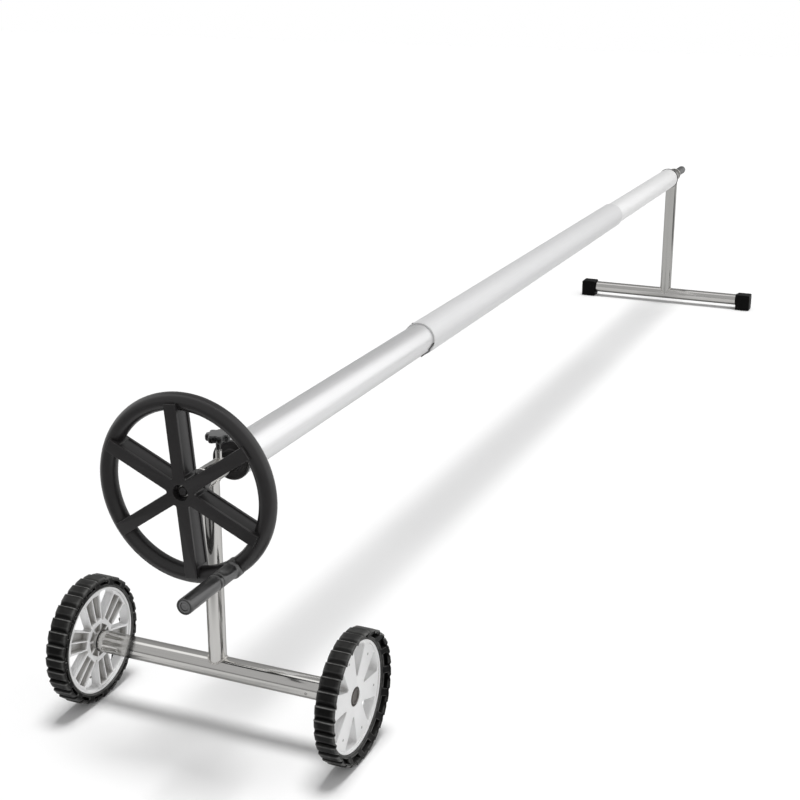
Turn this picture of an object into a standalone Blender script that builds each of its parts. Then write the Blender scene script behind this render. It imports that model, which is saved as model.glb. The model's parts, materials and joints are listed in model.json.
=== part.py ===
# Pool cover reel: a telescoping roller tube on a wheeled stand and a far foot stand.
# Metres, +Z up. +Y runs along the roller from the crank to the far foot, +X along the axle.
import math

import bmesh
import bpy
from mathutils import Matrix, Vector

# Main reach of the reel, from the middle of the wheeled stand
STAND_TO_STAND = 3.560
SHAFT_HEIGHT = 0.509
CRANK_REACH = 0.2525
FAR_REACH = 0.175
GAP = 0.0003

# Road wheels
WHEEL_RADIUS = 0.125
WHEEL_WIDTH = 0.043
WHEEL_SPREAD = 0.280
TYRE_BORE = 0.1048
TYRE_SHOULDER = 0.0035
TYRE_MOUTH = 0.0068
LUG_COUNT = 30
LUG_DEPTH = 0.0050
LUG_SLOPE = 0.78
POCKET_COUNT = 16
SPOKE_COUNT = 6
CELL_COUNT = 8
RIM_RADIUS = 0.1040
RIM_WALL = 0.0070
OUTER_FACE = 0.0030
OUTER_LIP = 0.0055
INNER_FACE = 0.0165
INNER_LIP = 0.0190
HUB_BORE = 0.0102
HUB_BOSS = 0.0165
PLATE = 0.0045
WHEEL_TURN = {"left": -9.0, "right": -18.0}

# Stainless stands
AXLE_TUBE = 0.0215
NEAR_POST = 0.0170
FAR_TUBES = 0.0210
STEEL_WALL = 0.0015
NEAR_SLEEVE = 0.0190
FAR_SLEEVE = 0.0230
SLEEVE_WALL = 0.0018
NEAR_SLEEVE_FRONT = -0.026
NEAR_SLEEVE_REAR = 0.069
FAR_SLEEVE_INNER = -0.059
FAR_SLEEVE_OUTER = 0.036
BAR_HEIGHT = 0.036
FOOT_SPREAD = 0.341
CAP_LENGTH = 0.062
CAP_HEIGHT = 0.064
CAP_DEPTH = 0.058
CAP_END = 0.0070
CAP_EDGE = 0.005

# Shafts, bushes and collars
SHAFT = 0.0100
SHAFT_FLAT = 0.0075
FLAT_END = -0.0315
BUSH_FLANGE = 0.0027
BUSH_BODY = 0.0135
WASHER = 0.0018
WASHER_RADIUS = 0.0170
COLLAR_RADIUS = 0.0165
COLLAR_WIDTH = 0.0087
PIN = 0.0023

# Roller tubes, their plugs and the liners in the centre tube's ends
END_TUBE = 0.0362
END_WALL = 0.0016
CENTRE_TUBE = 0.0400
CENTRE_WALL = 0.0012
NEAR_SEAM = 0.972
FAR_SEAM = 2.662
TUBE_LAP = 0.300
NEAR_FLANGE = 0.0077
FAR_FLANGE = 0.0030
PLUG_RIM = 0.0380
PLUG_BODY = 0.040
PLUG_WEB = 0.004
PLUG_BOSS = 0.017
PLUG_BOSS_LENGTH = 0.030
SEAM_FLANGE = 0.0395
SEAM_FLANGE_WIDTH = 0.0014
SEAM_BUSH = 0.025

# Hand wheel
HAND_RADIUS = 0.160
HAND_RIM = 0.016
HAND_PLANE = -0.078
HAND_FRONT = -0.100
HAND_BACK = -0.058
HAND_SPOKE = 0.024
SPOKE_TURN = 5.0
SPOKE_RECESS = 0.0025
SPOKE_FLANGE = 0.006
HUB_RECESS = 0.0122
HUB_RECESS_DEPTH = 0.014
HAND_BOSS = 0.021
HAND_BOSS_BACK = -0.0316
BOLT_HEAD = 0.0088
BOLT_HEAD_HEIGHT = 0.0060
BOLT = 0.0039
BOLT_WASHER = 0.0116

# Crank
CRANK_ANGLE = -54.0
CRANK_SHOULDER = -0.144
CRANK_NECK = 0.0148
CRANK_FOOT = 0.0175
CRANK_GRIP = 0.0148
SPINDLE = 0.0040
SCOOP = 0.0085
SCOOP_TURN = 75.0

# Lock screw, which presses on the shaft through the near sleeve
LOCK_Y = 0.034
LOCK_STUD = 0.0030
LOCK_BOSS = 0.0062
LOCK_BOSS_TOP = 0.0340
KNOB_UNDER = 0.0362
KNOB_NECK = 0.0050
KNOB_BASE = 0.0530
KNOB_TOP = 0.0672
KNOB_RADIUS = 0.0237
KNOB_LOBES = 7

# Stub axles, from the middle of the axle tube outwards
STUB = 0.0060
AXLE_END = 0.2550
PLUG_DEPTH = 0.032
AXLE_FLANGE = 0.003
CAP_RECESS = 0.0180
CAP_RECESS_DEPTH = 0.0105

# Sides of round pieces, by how far they show
TUBE_SIDES = 26
ROUND = 24
SMALL = 16
HIDDEN = 12
RIM_SIDES = 10
RIM_STEPS = 42
HUB_STEPS = 24

NEAR_Y = (CRANK_REACH - FAR_REACH - STAND_TO_STAND) / 2
FAR_Y = NEAR_Y + STAND_TO_STAND


def clearScene():
    for obj in list(bpy.data.objects):
        bpy.data.objects.remove(obj, do_unlink=True)


def material(name, colour, roughness, metallic=0.0):
    made = bpy.data.materials.new(name)
    made.use_nodes = True
    shader = made.node_tree.nodes["Principled BSDF"]
    shader.inputs["Base Color"].default_value = (*colour, 1.0)
    shader.inputs["Roughness"].default_value = roughness
    shader.inputs["Metallic"].default_value = metallic
    return made


# Meshes are made about +Z and then turned so that +Z lies along the named axis.
ALONG = {
    "X": Matrix.Rotation(math.radians(90), 4, "Y"),
    "Y": Matrix.Rotation(math.radians(-90), 4, "X"),
    "Z": Matrix.Identity(4),
}


def finished(mesh, along="Z", at=(0, 0, 0)):
    """Turn and move the mesh, then face it outwards."""
    bmesh.ops.transform(mesh, matrix=Matrix.Translation(at) @ ALONG[along], verts=mesh.verts)
    bmesh.ops.recalc_face_normals(mesh, faces=mesh.faces)
    return mesh


def turned(profile, steps=ROUND, along="Z", at=(0, 0, 0)):
    """Spin (radius, height) points about the axis; a profile off the axis closes on itself."""
    mesh = bmesh.new()
    points = [mesh.verts.new((radius, 0, height)) for radius, height in profile]
    edges = [mesh.edges.new(pair) for pair in zip(points, points[1:])]
    if profile[0][0] > 0:
        edges.append(mesh.edges.new((points[-1], points[0])))
    bmesh.ops.spin(
        mesh, geom=points + edges, cent=(0, 0, 0), axis=(0, 0, 1), angle=math.tau, steps=steps, use_merge=True
    )
    bmesh.ops.remove_doubles(mesh, verts=mesh.verts, dist=1e-6)
    return finished(mesh, along, at)


def rod(radius, start, end, steps=SMALL, along="Z", at=(0, 0, 0), chamfer=0.0):
    inner = radius - chamfer
    profile = [(0, end), (inner, end), (radius, end - chamfer), (radius, start + chamfer), (inner, start), (0, start)]
    if not chamfer:
        profile = [(0, end), (radius, end), (radius, start), (0, start)]
    return turned(profile, steps, along, at)


def pipe(outer, inner, start, end, steps=ROUND, along="Z", at=(0, 0, 0)):
    return turned([(outer, end), (outer, start), (inner, start), (inner, end)], steps, along, at)


def prism(outline, start, end, along="Z", at=(0, 0, 0)):
    """Extrude a flat outline from start to end."""
    mesh = bmesh.new()
    face = mesh.faces.new([mesh.verts.new((x, y, start)) for x, y in outline])
    raised = bmesh.ops.extrude_face_region(mesh, geom=[face])["geom"]
    tops = [item for item in raised if isinstance(item, bmesh.types.BMVert)]
    bmesh.ops.translate(mesh, vec=(0, 0, end - start), verts=tops)
    return finished(mesh, along, at)


def lofted(rings, along="Z", at=(0, 0, 0)):
    """Bridge rings of equally many points, with flat ends."""
    mesh = bmesh.new()
    loops = [[mesh.verts.new(point) for point in ring] for ring in rings]
    for low, high in zip(loops, loops[1:]):
        for i, corner in enumerate(low):
            after = (i + 1) % len(low)
            mesh.faces.new((corner, low[after], high[after], high[i]))
    mesh.faces.new(loops[0])
    mesh.faces.new(loops[-1])
    return finished(mesh, along, at)


def block(size, at=(0, 0, 0), turn=None):
    mesh = bmesh.new()
    bmesh.ops.create_cube(mesh, size=1.0)
    matrix = Matrix.Translation(at) @ Matrix.Diagonal((*size, 1))
    bmesh.ops.transform(mesh, matrix=turn @ matrix if turn else matrix, verts=mesh.verts)
    return mesh


def joined(meshes):
    """Several meshes that don't touch, as one mesh for a cutter."""
    whole = bmesh.new()
    for mesh in meshes:
        carrier = bpy.data.meshes.new("carrier")
        mesh.to_mesh(carrier)
        mesh.free()
        whole.from_mesh(carrier)
        bpy.data.meshes.remove(carrier)
    return whole


def placed(name, mesh, parent, finish=None):
    data = bpy.data.meshes.new(name)
    mesh.to_mesh(data)
    mesh.free()
    obj = bpy.data.objects.new(name, data)
    bpy.context.scene.collection.objects.link(obj)
    obj.parent = parent
    if finish:
        data.materials.append(finish)
        data.shade_smooth()
        data.set_sharp_from_angle(angle=math.radians(32))
    return obj


def shaped(obj, operation, mesh):
    """Cut or join the mesh with a live Boolean; its tool stays as a hidden wire object."""
    tool = placed(f"{obj.name}_{operation.lower()}_{len(obj.modifiers)}", mesh, obj.parent)
    tool.hide_render = True
    tool.display_type = "WIRE"
    change = obj.modifiers.new(tool.name, "BOOLEAN")
    change.operation = operation
    change.object = tool
    change.solver = "EXACT"
    return obj


def body(name, at, parent=None):
    """An empty on the joint's axis, which carries the pieces that move together."""
    carrier = bpy.data.objects.new(name, None)
    bpy.context.scene.collection.objects.link(carrier)
    carrier.empty_display_size = 0.05
    carrier.parent = parent
    origin = Vector(bodyPlaces.get(parent.name, (0, 0, 0))) if parent else Vector((0, 0, 0))
    carrier.location = Vector(at) - origin
    bodyPlaces[name] = tuple(at)
    return carrier


def polar(radius, degrees):
    angle = math.radians(degrees)
    return (radius * math.cos(angle), radius * math.sin(angle))


# Road wheel, about its own axle along X; side is +1 where its outer face looks along +X


def tyreMesh(side):
    """A ring whose tread steps up and slopes away once for each lug; its outer sidewall is dished."""
    half = WHEEL_WIDTH / 2
    rings = []
    for lug in range(LUG_COUNT):
        for share, crest in ((0.0, WHEEL_RADIUS), (LUG_SLOPE, WHEEL_RADIUS - LUG_DEPTH)):
            turn = -math.pi / 2 + math.tau * (lug + share) / LUG_COUNT
            edge = crest - 1.5 * TYRE_SHOULDER
            tread = [(half, edge), (half - TYRE_SHOULDER, crest)]
            section = [(TYRE_MOUTH, TYRE_BORE), *tread]
            section += [(-x, radius) for x, radius in reversed(tread)]
            section.append((-half, TYRE_BORE))
            rings.append([(side * x, radius * math.cos(turn), radius * math.sin(turn)) for x, radius in section])
    mesh = bmesh.new()
    loops = [[mesh.verts.new(point) for point in ring] for ring in rings]
    for i, loop in enumerate(loops):
        after = loops[(i + 1) % len(loops)]
        for j, corner in enumerate(loop):
            beside = (j + 1) % len(loop)
            mesh.faces.new((corner, loop[beside], after[beside], after[j]))
    return finished(mesh)


def tyrePockets(side):
    """Long pockets round both sidewalls: straight in on the inner side, square to the dish on the outer."""
    length, height, depth = 0.0260, 0.0062, 0.0060
    half = WHEEL_WIDTH / 2
    middle = (WHEEL_RADIUS - LUG_DEPTH + TYRE_BORE) / 2 - 0.0005
    rise = WHEEL_RADIUS - 1.5 * TYRE_SHOULDER - TYRE_BORE
    slope = math.atan2(half - TYRE_MOUTH, rise)
    dished_at = (side * ((TYRE_MOUTH + half) / 2 - 0.001), TYRE_BORE + rise / 2 - 0.001, 0)
    dished = Matrix.Translation(dished_at) @ Matrix.Rotation(-side * slope, 4, "Z")
    cuts = []
    for index in range(POCKET_COUNT):
        turn = Matrix.Rotation(math.tau * (index + 0.5) / POCKET_COUNT, 4, "X")
        cuts.append(block((2 * depth, height, length), (-side * half, middle, 0), turn))
        cuts.append(block((2 * depth - 0.002, 0.0100, length), (0, 0, 0), turn @ dished))
    return joined(cuts)


def hubWindow(centre, side):
    """One of the three-cornered openings between two spokes, its long side along the rim."""
    apex, apex_spread = 0.0385, 3.0
    base, base_spread, bulge = RIM_RADIUS - RIM_WALL - 0.0015, 15.0, 0.003
    outline = [polar(apex, centre - apex_spread), polar(base, centre - base_spread)]
    outline.append(polar(base + bulge, centre))
    outline += [polar(base, centre + base_spread), polar(apex, centre + apex_spread)]
    return prism([(-side * y, z) for y, z in outline], -0.03, 0.03, "X")


def hubPockets(side, wheel_turn):
    """The channels behind the spokes and the ring of small cells round the boss, open inwards."""
    floor, mouth, rib = OUTER_FACE - PLATE, -0.03, 0.00125
    cell_floor = OUTER_FACE - CAP_RECESS_DEPTH - 0.002
    channel = [(0.0405, rib), (0.0945, rib), (0.0905, 0.0208), (0.0405, 0.0160)]
    cell = [polar(0.0172, -17), polar(0.0330, -20), polar(0.0330, 20), polar(0.0172, 17)]
    cuts = []
    for index in range(SPOKE_COUNT):
        spoke = wheel_turn + 360 / SPOKE_COUNT * index
        for flank in (-1, 1):
            cuts.append(hubPocket([(x, flank * y) for x, y in channel], spoke, side, mouth, floor))
    for index in range(CELL_COUNT):
        turn = wheel_turn + 360 / CELL_COUNT * index
        cuts.append(hubPocket(cell, turn, side, mouth, cell_floor))
    return joined(cuts)


def hubPocket(outline, degrees, side, mouth, floor):
    """A pocket in the inner side of the hub, its outline turned to where its spoke lies."""
    turn = Matrix.Rotation(math.radians(degrees), 2)
    spots = [turn @ Vector(point) for point in outline]
    low, high = sorted((side * mouth, side * floor))
    return prism([(-side * spot.x, spot.y) for spot in spots], low, high, "X")


def hubMesh(side):
    rim_inside = RIM_RADIUS - 0.0045
    face_radius = rim_inside - 0.0015
    profile = [
        (RIM_RADIUS, OUTER_LIP),
        (rim_inside, OUTER_LIP),
        (face_radius, OUTER_FACE),
        (CAP_RECESS, OUTER_FACE),
        (CAP_RECESS, OUTER_FACE - CAP_RECESS_DEPTH),
        (HUB_BORE, OUTER_FACE - CAP_RECESS_DEPTH),
        (HUB_BORE, -INNER_LIP),
        (HUB_BOSS, -INNER_LIP),
        (HUB_BOSS, -INNER_FACE),
        (face_radius, -INNER_FACE),
        (rim_inside, -INNER_LIP),
        (RIM_RADIUS, -INNER_LIP),
    ]
    return turned([(radius, side * height) for radius, height in profile], HUB_STEPS, "X")


def roadWheel(word, side, parent, finishes):
    wheel = body(f"wheel_{word}_axis", (side * WHEEL_SPREAD, NEAR_Y, WHEEL_RADIUS), parent)
    tyre = placed(f"tyre_{word}", tyreMesh(side), wheel, finishes["tyre"])
    shaped(tyre, "DIFFERENCE", tyrePockets(side))
    hub = placed(f"wheel_hub_{word}", hubMesh(side), wheel, finishes["hub"])
    pitch = 360 / SPOKE_COUNT
    windows = [hubWindow(WHEEL_TURN[word] + pitch * (index + 0.5), side) for index in range(SPOKE_COUNT)]
    shaped(hub, "DIFFERENCE", joined(windows))
    shaped(hub, "DIFFERENCE", hubPockets(side, WHEEL_TURN[word]))
    floor = OUTER_FACE - CAP_RECESS_DEPTH + GAP
    flange = floor + 0.0018
    bush = [
        (HUB_BORE + 0.0028, side * flange),
        (HUB_BORE + 0.0028, side * floor),
        (HUB_BORE - GAP, side * floor),
        (HUB_BORE - GAP, -side * INNER_LIP),
        (STUB + GAP, -side * INNER_LIP),
        (STUB + GAP, side * flange),
    ]
    placed(f"wheel_bush_{word}", turned(bush, HIDDEN, "X"), wheel, finishes["nylon"])


# Wheeled stand, the root of the assembly


def steelTube(name, radius, start, end, along, at, parent, finish, wall=STEEL_WALL):
    return placed(name, pipe(radius, radius - wall, start, end, ROUND, along, at), parent, finish)


def flangedBush(name, sleeve, end, outwards, parent, finish):
    """A bush pushed into a sleeve's end; outwards is the sign of Y in which its flange faces."""
    body_radius = sleeve - SLEEVE_WALL - GAP
    near = end + outwards * GAP
    profile = [
        (sleeve + 0.001, near + outwards * BUSH_FLANGE),
        (sleeve + 0.001, near),
        (body_radius, near),
        (body_radius, near - outwards * BUSH_BODY),
        (SHAFT + GAP, near - outwards * BUSH_BODY),
        (SHAFT + GAP, near + outwards * BUSH_FLANGE),
    ]
    return placed(name, turned(profile, ROUND - 8, "Y"), parent, finish)


def shaftWasher(name, start, parent, finish):
    return placed(name, pipe(WASHER_RADIUS, SHAFT + GAP, start, start + WASHER, SMALL, "Y"), parent, finish)


def wheeledStand(finishes):
    stand = body("near_stand", (0, NEAR_Y, 0))
    steel = finishes["steel"]
    steelTube("axle_tube", AXLE_TUBE, -AXLE_END, AXLE_END, "X", (0, 0, WHEEL_RADIUS), stand, steel)
    post = steelTube("near_post", NEAR_POST, WHEEL_RADIUS, SHAFT_HEIGHT, "Z", (0, 0, 0), stand, steel)
    saddle = rod(AXLE_TUBE + GAP, -0.05, 0.05, ROUND, "X", (0, 0, WHEEL_RADIUS))
    shaped(post, "DIFFERENCE", saddle)
    shaped(post, "DIFFERENCE", rod(NEAR_SLEEVE + GAP, -0.08, 0.08, ROUND, "Y", (0, 0, SHAFT_HEIGHT)))

    bearing = body("near_bearing", (0, NEAR_Y, SHAFT_HEIGHT), stand)
    sleeve = steelTube(
        "near_bearing_sleeve", NEAR_SLEEVE, NEAR_SLEEVE_FRONT, NEAR_SLEEVE_REAR, "Y", (0, 0, 0), bearing, steel,
        SLEEVE_WALL,
    )
    thread_hole = LOCK_STUD + 0.0004
    shaped(sleeve, "DIFFERENCE", rod(thread_hole, 0.005, 0.05, HIDDEN, "Z", (0, LOCK_Y, 0)))
    flangedBush("near_front_bush", NEAR_SLEEVE, NEAR_SLEEVE_FRONT, -1, bearing, finishes["nylon"])
    flangedBush("near_rear_bush", NEAR_SLEEVE, NEAR_SLEEVE_REAR, 1, bearing, finishes["nylon"])
    boss_mesh = pipe(LOCK_BOSS, thread_hole, SHAFT, LOCK_BOSS_TOP, HIDDEN, "Z", (0, LOCK_Y, 0))
    boss = placed("lock_boss", boss_mesh, bearing, steel)
    shaped(boss, "DIFFERENCE", rod(NEAR_SLEEVE + GAP, -0.08, 0.08, ROUND, "Y"))

    for word, side in (("left", -1), ("right", 1)):
        axleEnd(word, side, stand, finishes)
    return stand


def axleEnd(word, side, stand, finishes):
    """The plug in the axle tube's end, the stub axle it holds, its washer and its push-on cap."""
    at = (0, 0, WHEEL_RADIUS)
    flange = AXLE_END + GAP
    bore = STUB + GAP
    inside = AXLE_TUBE - STEEL_WALL - GAP
    plug = [
        (AXLE_TUBE, flange + AXLE_FLANGE),
        (AXLE_TUBE, flange),
        (inside, flange),
        (inside, flange - PLUG_DEPTH),
        (bore, flange - PLUG_DEPTH),
        (bore, flange + AXLE_FLANGE),
    ]
    plug = [(radius, side * height) for radius, height in plug]
    placed(f"axle_plug_{word}", turned(plug, SMALL, "X", at), stand, finishes["black"])
    washer = flange + AXLE_FLANGE + GAP
    low, high = sorted((side * washer, side * (washer + 0.0016)))
    placed(f"axle_washer_{word}", pipe(0.0135, bore, low, high, HIDDEN, "X", at), stand, finishes["steel"])
    cap_floor = WHEEL_SPREAD + OUTER_FACE - CAP_RECESS_DEPTH + 0.0027
    stub_end = cap_floor + 0.0055
    low, high = sorted((side * (flange - PLUG_DEPTH - 0.008), side * stub_end))
    placed(f"stub_axle_{word}", rod(STUB, low, high, HIDDEN, "X", at, 0.0008), stand, finishes["steel"])
    dome = [
        (0, stub_end + 0.0026),
        (0.0072, stub_end + 0.0022),
        (0.0118, stub_end + 0.0006),
        (0.0142, cap_floor + 0.0030),
        (0.0150, cap_floor),
        (bore, cap_floor),
        (bore, stub_end + GAP),
        (0, stub_end + GAP),
    ]
    dome = [(radius, side * height) for radius, height in dome]
    placed(f"axle_cap_{word}", turned(dome, SMALL, "X", at), stand, finishes["grey"])


# Hand wheel, crank and the near part of the roller, which turn together about the shaft


def flatSided(radius, flat, start, end):
    """A rod along Y with two flats, for the drive end of the shaft and the hub's bore."""
    corner = math.degrees(math.acos(flat / radius))
    outline = [polar(radius, corner + (180 - 2 * corner) * share / 5) for share in range(6)]
    outline += [(-x, -y) for x, y in outline]
    return prism(outline, start, end, "Y")


def rimMesh(section):
    """The hand wheel's round rim, at the given section radius."""
    turns = (math.tau * index / RIM_SIDES for index in range(RIM_SIDES))
    ring = [(HAND_RADIUS + section * math.cos(turn), HAND_PLANE + section * math.sin(turn)) for turn in turns]
    return turned(ring, RIM_STEPS, "Y")


def handWheel(parent, finish):
    wheel = placed("hand_wheel", rimMesh(HAND_RIM), parent, finish)
    half = HAND_SPOKE / 2
    star = []
    for index in range(SPOKE_COUNT):
        turn = Matrix.Rotation(math.radians(60 * index - 90 - SPOKE_TURN), 2)
        arm = [(HAND_RADIUS, -half), (HAND_RADIUS, half), (half / math.tan(math.radians(30)), half)]
        star += [tuple(turn @ Vector(point)) for point in arm]
    shaped(wheel, "UNION", prism(star, HAND_FRONT, HAND_BACK, "Y"))
    shaped(wheel, "UNION", rod(HAND_BOSS, HAND_FRONT + 0.02, HAND_BOSS_BACK, ROUND, "Y"))
    inner, outer = 0.031, HAND_RADIUS - HAND_RIM - 0.003
    recesses = []
    for index in range(SPOKE_COUNT):
        turn = Matrix.Rotation(math.radians(60 * index + 90 - SPOKE_TURN), 4, "Y")
        for flank in (-1, 1):
            size = (outer - inner, HAND_BACK - HAND_FRONT - 2 * SPOKE_FLANGE, 2 * SPOKE_RECESS)
            at = ((inner + outer) / 2, (HAND_FRONT + HAND_BACK) / 2, flank * half)
            recesses.append(block(size, at, turn))
    shaped(wheel, "DIFFERENCE", joined(recesses))
    shaped(wheel, "DIFFERENCE", rod(HUB_RECESS, -0.12, HAND_FRONT + HUB_RECESS_DEPTH, SMALL, "Y"))
    shaped(wheel, "DIFFERENCE", flatSided(SHAFT + GAP, SHAFT_FLAT + GAP, -0.095, -0.02))
    x, z = polar(HAND_RADIUS, CRANK_ANGLE)
    hole = rod(SPINDLE + GAP, -0.12, HAND_PLANE + 0.010, HIDDEN, "Y", (x, 0, z))
    shaped(wheel, "DIFFERENCE", hole)


def crankBase(parent, finish):
    """The neck that stands on the rim, cut to it, scooped out on one side and bored for the spindle."""
    x, z = polar(HAND_RADIUS, CRANK_ANGLE)
    foot_top = HAND_PLANE - 0.0170
    neck = [
        (CRANK_NECK - 0.0006, CRANK_SHOULDER),
        (CRANK_NECK, CRANK_SHOULDER + 0.0010),
        (CRANK_NECK, foot_top - 0.0060),
        (CRANK_FOOT - 0.0008, foot_top - 0.0012),
        (CRANK_FOOT, foot_top + 0.0020),
        (CRANK_FOOT, HAND_PLANE - 0.0040),
        (SPINDLE + GAP, HAND_PLANE - 0.0040),
        (SPINDLE + GAP, CRANK_SHOULDER),
    ]
    base = placed("crank_base", turned(neck, SMALL, "Y", (x, 0, z)), parent, finish)
    shaped(base, "DIFFERENCE", rimMesh(HAND_RIM + GAP))
    across, up = polar(CRANK_NECK + 0.0040, SCOOP_TURN)
    scoop = rod(SCOOP, CRANK_SHOULDER + 0.0070, foot_top - 0.0010, HIDDEN, "Y", (x + across, 0, z + up), 0.004)
    shaped(base, "DIFFERENCE", scoop)


def tubePlug(name, tube_end, inwards, width, parent, finish):
    """The moulded plug in a roller tube's end; inwards is the sign of Y that leads into the tube."""
    inside = END_TUBE - END_WALL - GAP
    flange = tube_end - inwards * GAP
    face = flange - inwards * width
    dish = face + inwards * 0.4 * width
    profile = [
        (PLUG_RIM, face),
        (PLUG_RIM, flange),
        (inside, flange),
        (inside, flange + inwards * PLUG_BODY),
        (inside - 0.004, flange + inwards * PLUG_BODY),
        (inside - 0.004, flange + inwards * PLUG_WEB),
        (PLUG_BOSS, flange + inwards * PLUG_WEB),
        (PLUG_BOSS, flange + inwards * PLUG_BOSS_LENGTH),
        (SHAFT + GAP, flange + inwards * PLUG_BOSS_LENGTH),
        (SHAFT + GAP, face),
        (0.0200, face),
        (0.0225, dish),
        (0.0330, dish),
        (0.0350, face),
    ]
    plug = placed(name, turned(profile, SMALL + 2, "Y"), parent, finish)
    pin = flange + inwards * (PLUG_WEB + PLUG_BOSS_LENGTH) / 2
    shaped(plug, "DIFFERENCE", rod(PIN + 0.0004, -0.03, 0.03, HIDDEN - 2, "Z", (0, pin, 0)))
    return pin


def drivePin(name, place, parent, finish):
    reach = PLUG_BOSS - 0.0005
    placed(name, rod(PIN, -reach, reach, HIDDEN - 2, "Z", (0, place, 0), 0.0006), parent, finish)


def shaftWithPin(name, start, end, pin, parent, finish):
    shaft = placed(name, rod(SHAFT, start, end, SMALL, "Y", (0, 0, 0), 0.0008), parent, finish)
    shaped(shaft, "DIFFERENCE", rod(PIN + 0.0004, -0.03, 0.03, HIDDEN - 2, "Z", (0, pin, 0)))
    return shaft


def hubScrew(reel, finishes):
    """The capped screw in the hub's recess, with its washer; gives the place of its head's underside."""
    floor = HAND_FRONT + HUB_RECESS_DEPTH - GAP
    washer = floor - 0.0016
    placed("hub_bolt_washer", pipe(BOLT_WASHER, BOLT + GAP, washer, floor, SMALL, "Y"), reel, finishes["steel"])
    head = washer - GAP
    front = head - BOLT_HEAD_HEIGHT
    bolt = [(0, front), (BOLT_HEAD - 0.0016, front), (BOLT_HEAD, front + 0.0018), (BOLT_HEAD, head)]
    bolt += [(BOLT, head), (BOLT, head + 0.030), (0, head + 0.030)]
    placed("hub_bolt", turned(bolt, SMALL, "Y"), reel, finishes["black"])
    return head


def nearReel(stand, finishes):
    reel = body("reel_axis", (0, NEAR_Y, SHAFT_HEIGHT), stand)
    steel, black = finishes["steel"], finishes["black"]
    handWheel(reel, black)
    head = hubScrew(reel, finishes)
    front_face = NEAR_SLEEVE_FRONT - GAP - BUSH_FLANGE
    rear_face = NEAR_SLEEVE_REAR + GAP + BUSH_FLANGE
    shaftWasher("front_shaft_washer", front_face - GAP - WASHER, reel, steel)
    shaftWasher("rear_shaft_washer", rear_face + GAP, reel, steel)
    tube_start = rear_face + GAP + WASHER + GAP + NEAR_FLANGE + GAP
    pin = tubePlug("near_tube_plug", tube_start, 1, NEAR_FLANGE, reel, black)
    drivePin("drive_pin", pin, reel, steel)
    start = -0.084
    shaft = shaftWithPin("drive_shaft", start, tube_start + PLUG_BOSS_LENGTH, pin, reel, steel)
    for flank in (-1, 1):
        middle, length = (FLAT_END + start - 0.0015) / 2, FLAT_END - start + 0.0015
        flat = block((0.01, length, 0.03), (flank * (SHAFT_FLAT + 0.005), middle, 0))
        shaped(shaft, "DIFFERENCE", flat)
    shaped(shaft, "DIFFERENCE", rod(BOLT + GAP, -0.10, head + 0.034, SMALL, "Y"))
    tube = pipe(END_TUBE, END_TUBE - END_WALL, tube_start, NEAR_SEAM + TUBE_LAP, TUBE_SIDES, "Y")
    placed("near_tube", tube, reel, finishes["aluminium"])
    crank(reel, finishes)
    return reel


def crank(reel, finishes):
    """Base, spindle and the grip that turns on it, outside the hand wheel's rim."""
    crankBase(reel, finishes["black"])
    x, z = polar(HAND_RADIUS, CRANK_ANGLE)
    outer = -CRANK_REACH + 0.0024
    head_back, head_radius = outer + 0.0050, 0.0074
    inner = HAND_PLANE + 0.008
    spindle = [(0, outer), (head_radius - 0.0014, outer), (head_radius, outer + 0.0014), (head_radius, head_back)]
    spindle += [(SPINDLE, head_back), (SPINDLE, inner), (0, inner)]
    placed("crank_spindle", turned(spindle, HIDDEN, "Y", (x, 0, z)), reel, finishes["steel"])
    axis = body("crank_axis", (x, NEAR_Y, SHAFT_HEIGHT + z), reel)
    seat, shoulder = head_back + GAP, CRANK_SHOULDER - 0.0006
    mouth = head_radius + 0.0014
    grip = [
        (mouth, -CRANK_REACH),
        (CRANK_GRIP - 0.0016, -CRANK_REACH),
        (CRANK_GRIP, -CRANK_REACH + 0.0018),
        (CRANK_GRIP - 0.0006, CRANK_SHOULDER - 0.0018),
        (CRANK_GRIP - 0.0016, shoulder),
        (SPINDLE + GAP, shoulder),
        (SPINDLE + GAP, seat),
        (mouth, seat),
    ]
    placed("crank_grip", turned(grip, SMALL, "Y"), axis, finishes["grip"])


def lockScrew(stand, finishes):
    """The star knob and its stud, which press on the shaft from above."""
    screw = body("lock_axis", (0, NEAR_Y + LOCK_Y, SHAFT_HEIGHT), stand)
    blind = KNOB_BASE + 0.006
    stud = rod(LOCK_STUD, SHAFT + GAP, blind, HIDDEN, "Z", (0, 0, 0), 0.0005)
    placed("lock_stud", stud, screw, finishes["steel"])
    knob_axis = body("knob_axis", (0, NEAR_Y + LOCK_Y, SHAFT_HEIGHT), screw)

    def lobes(height, radius, depth):
        """One ring of the knob: a circle drawn in between its lobes."""
        count = KNOB_LOBES * 6
        radii = (radius * (1 - depth * (1 - math.cos(math.tau * i / 6)) / 2) for i in range(count))
        return [(*polar(reach, 360 * i / count), height) for i, reach in enumerate(radii)]

    rings = [
        lobes(KNOB_UNDER, KNOB_NECK, 0.0),
        lobes(KNOB_BASE - 0.0025, KNOB_NECK * 1.3, 0.0),
        lobes(KNOB_BASE + 0.0005, KNOB_RADIUS * 0.96, 0.22),
        lobes(KNOB_TOP - 0.0050, KNOB_RADIUS, 0.22),
        lobes(KNOB_TOP - 0.0012, KNOB_RADIUS * 0.92, 0.20),
        lobes(KNOB_TOP, KNOB_RADIUS * 0.42, 0.0),
    ]
    knob = placed("lock_knob", lofted(rings), knob_axis, finishes["knob"])
    shaped(knob, "DIFFERENCE", rod(LOCK_STUD + GAP, 0, blind + GAP, HIDDEN, "Z"))


# The sliding tubes and the far foot stand


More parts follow.
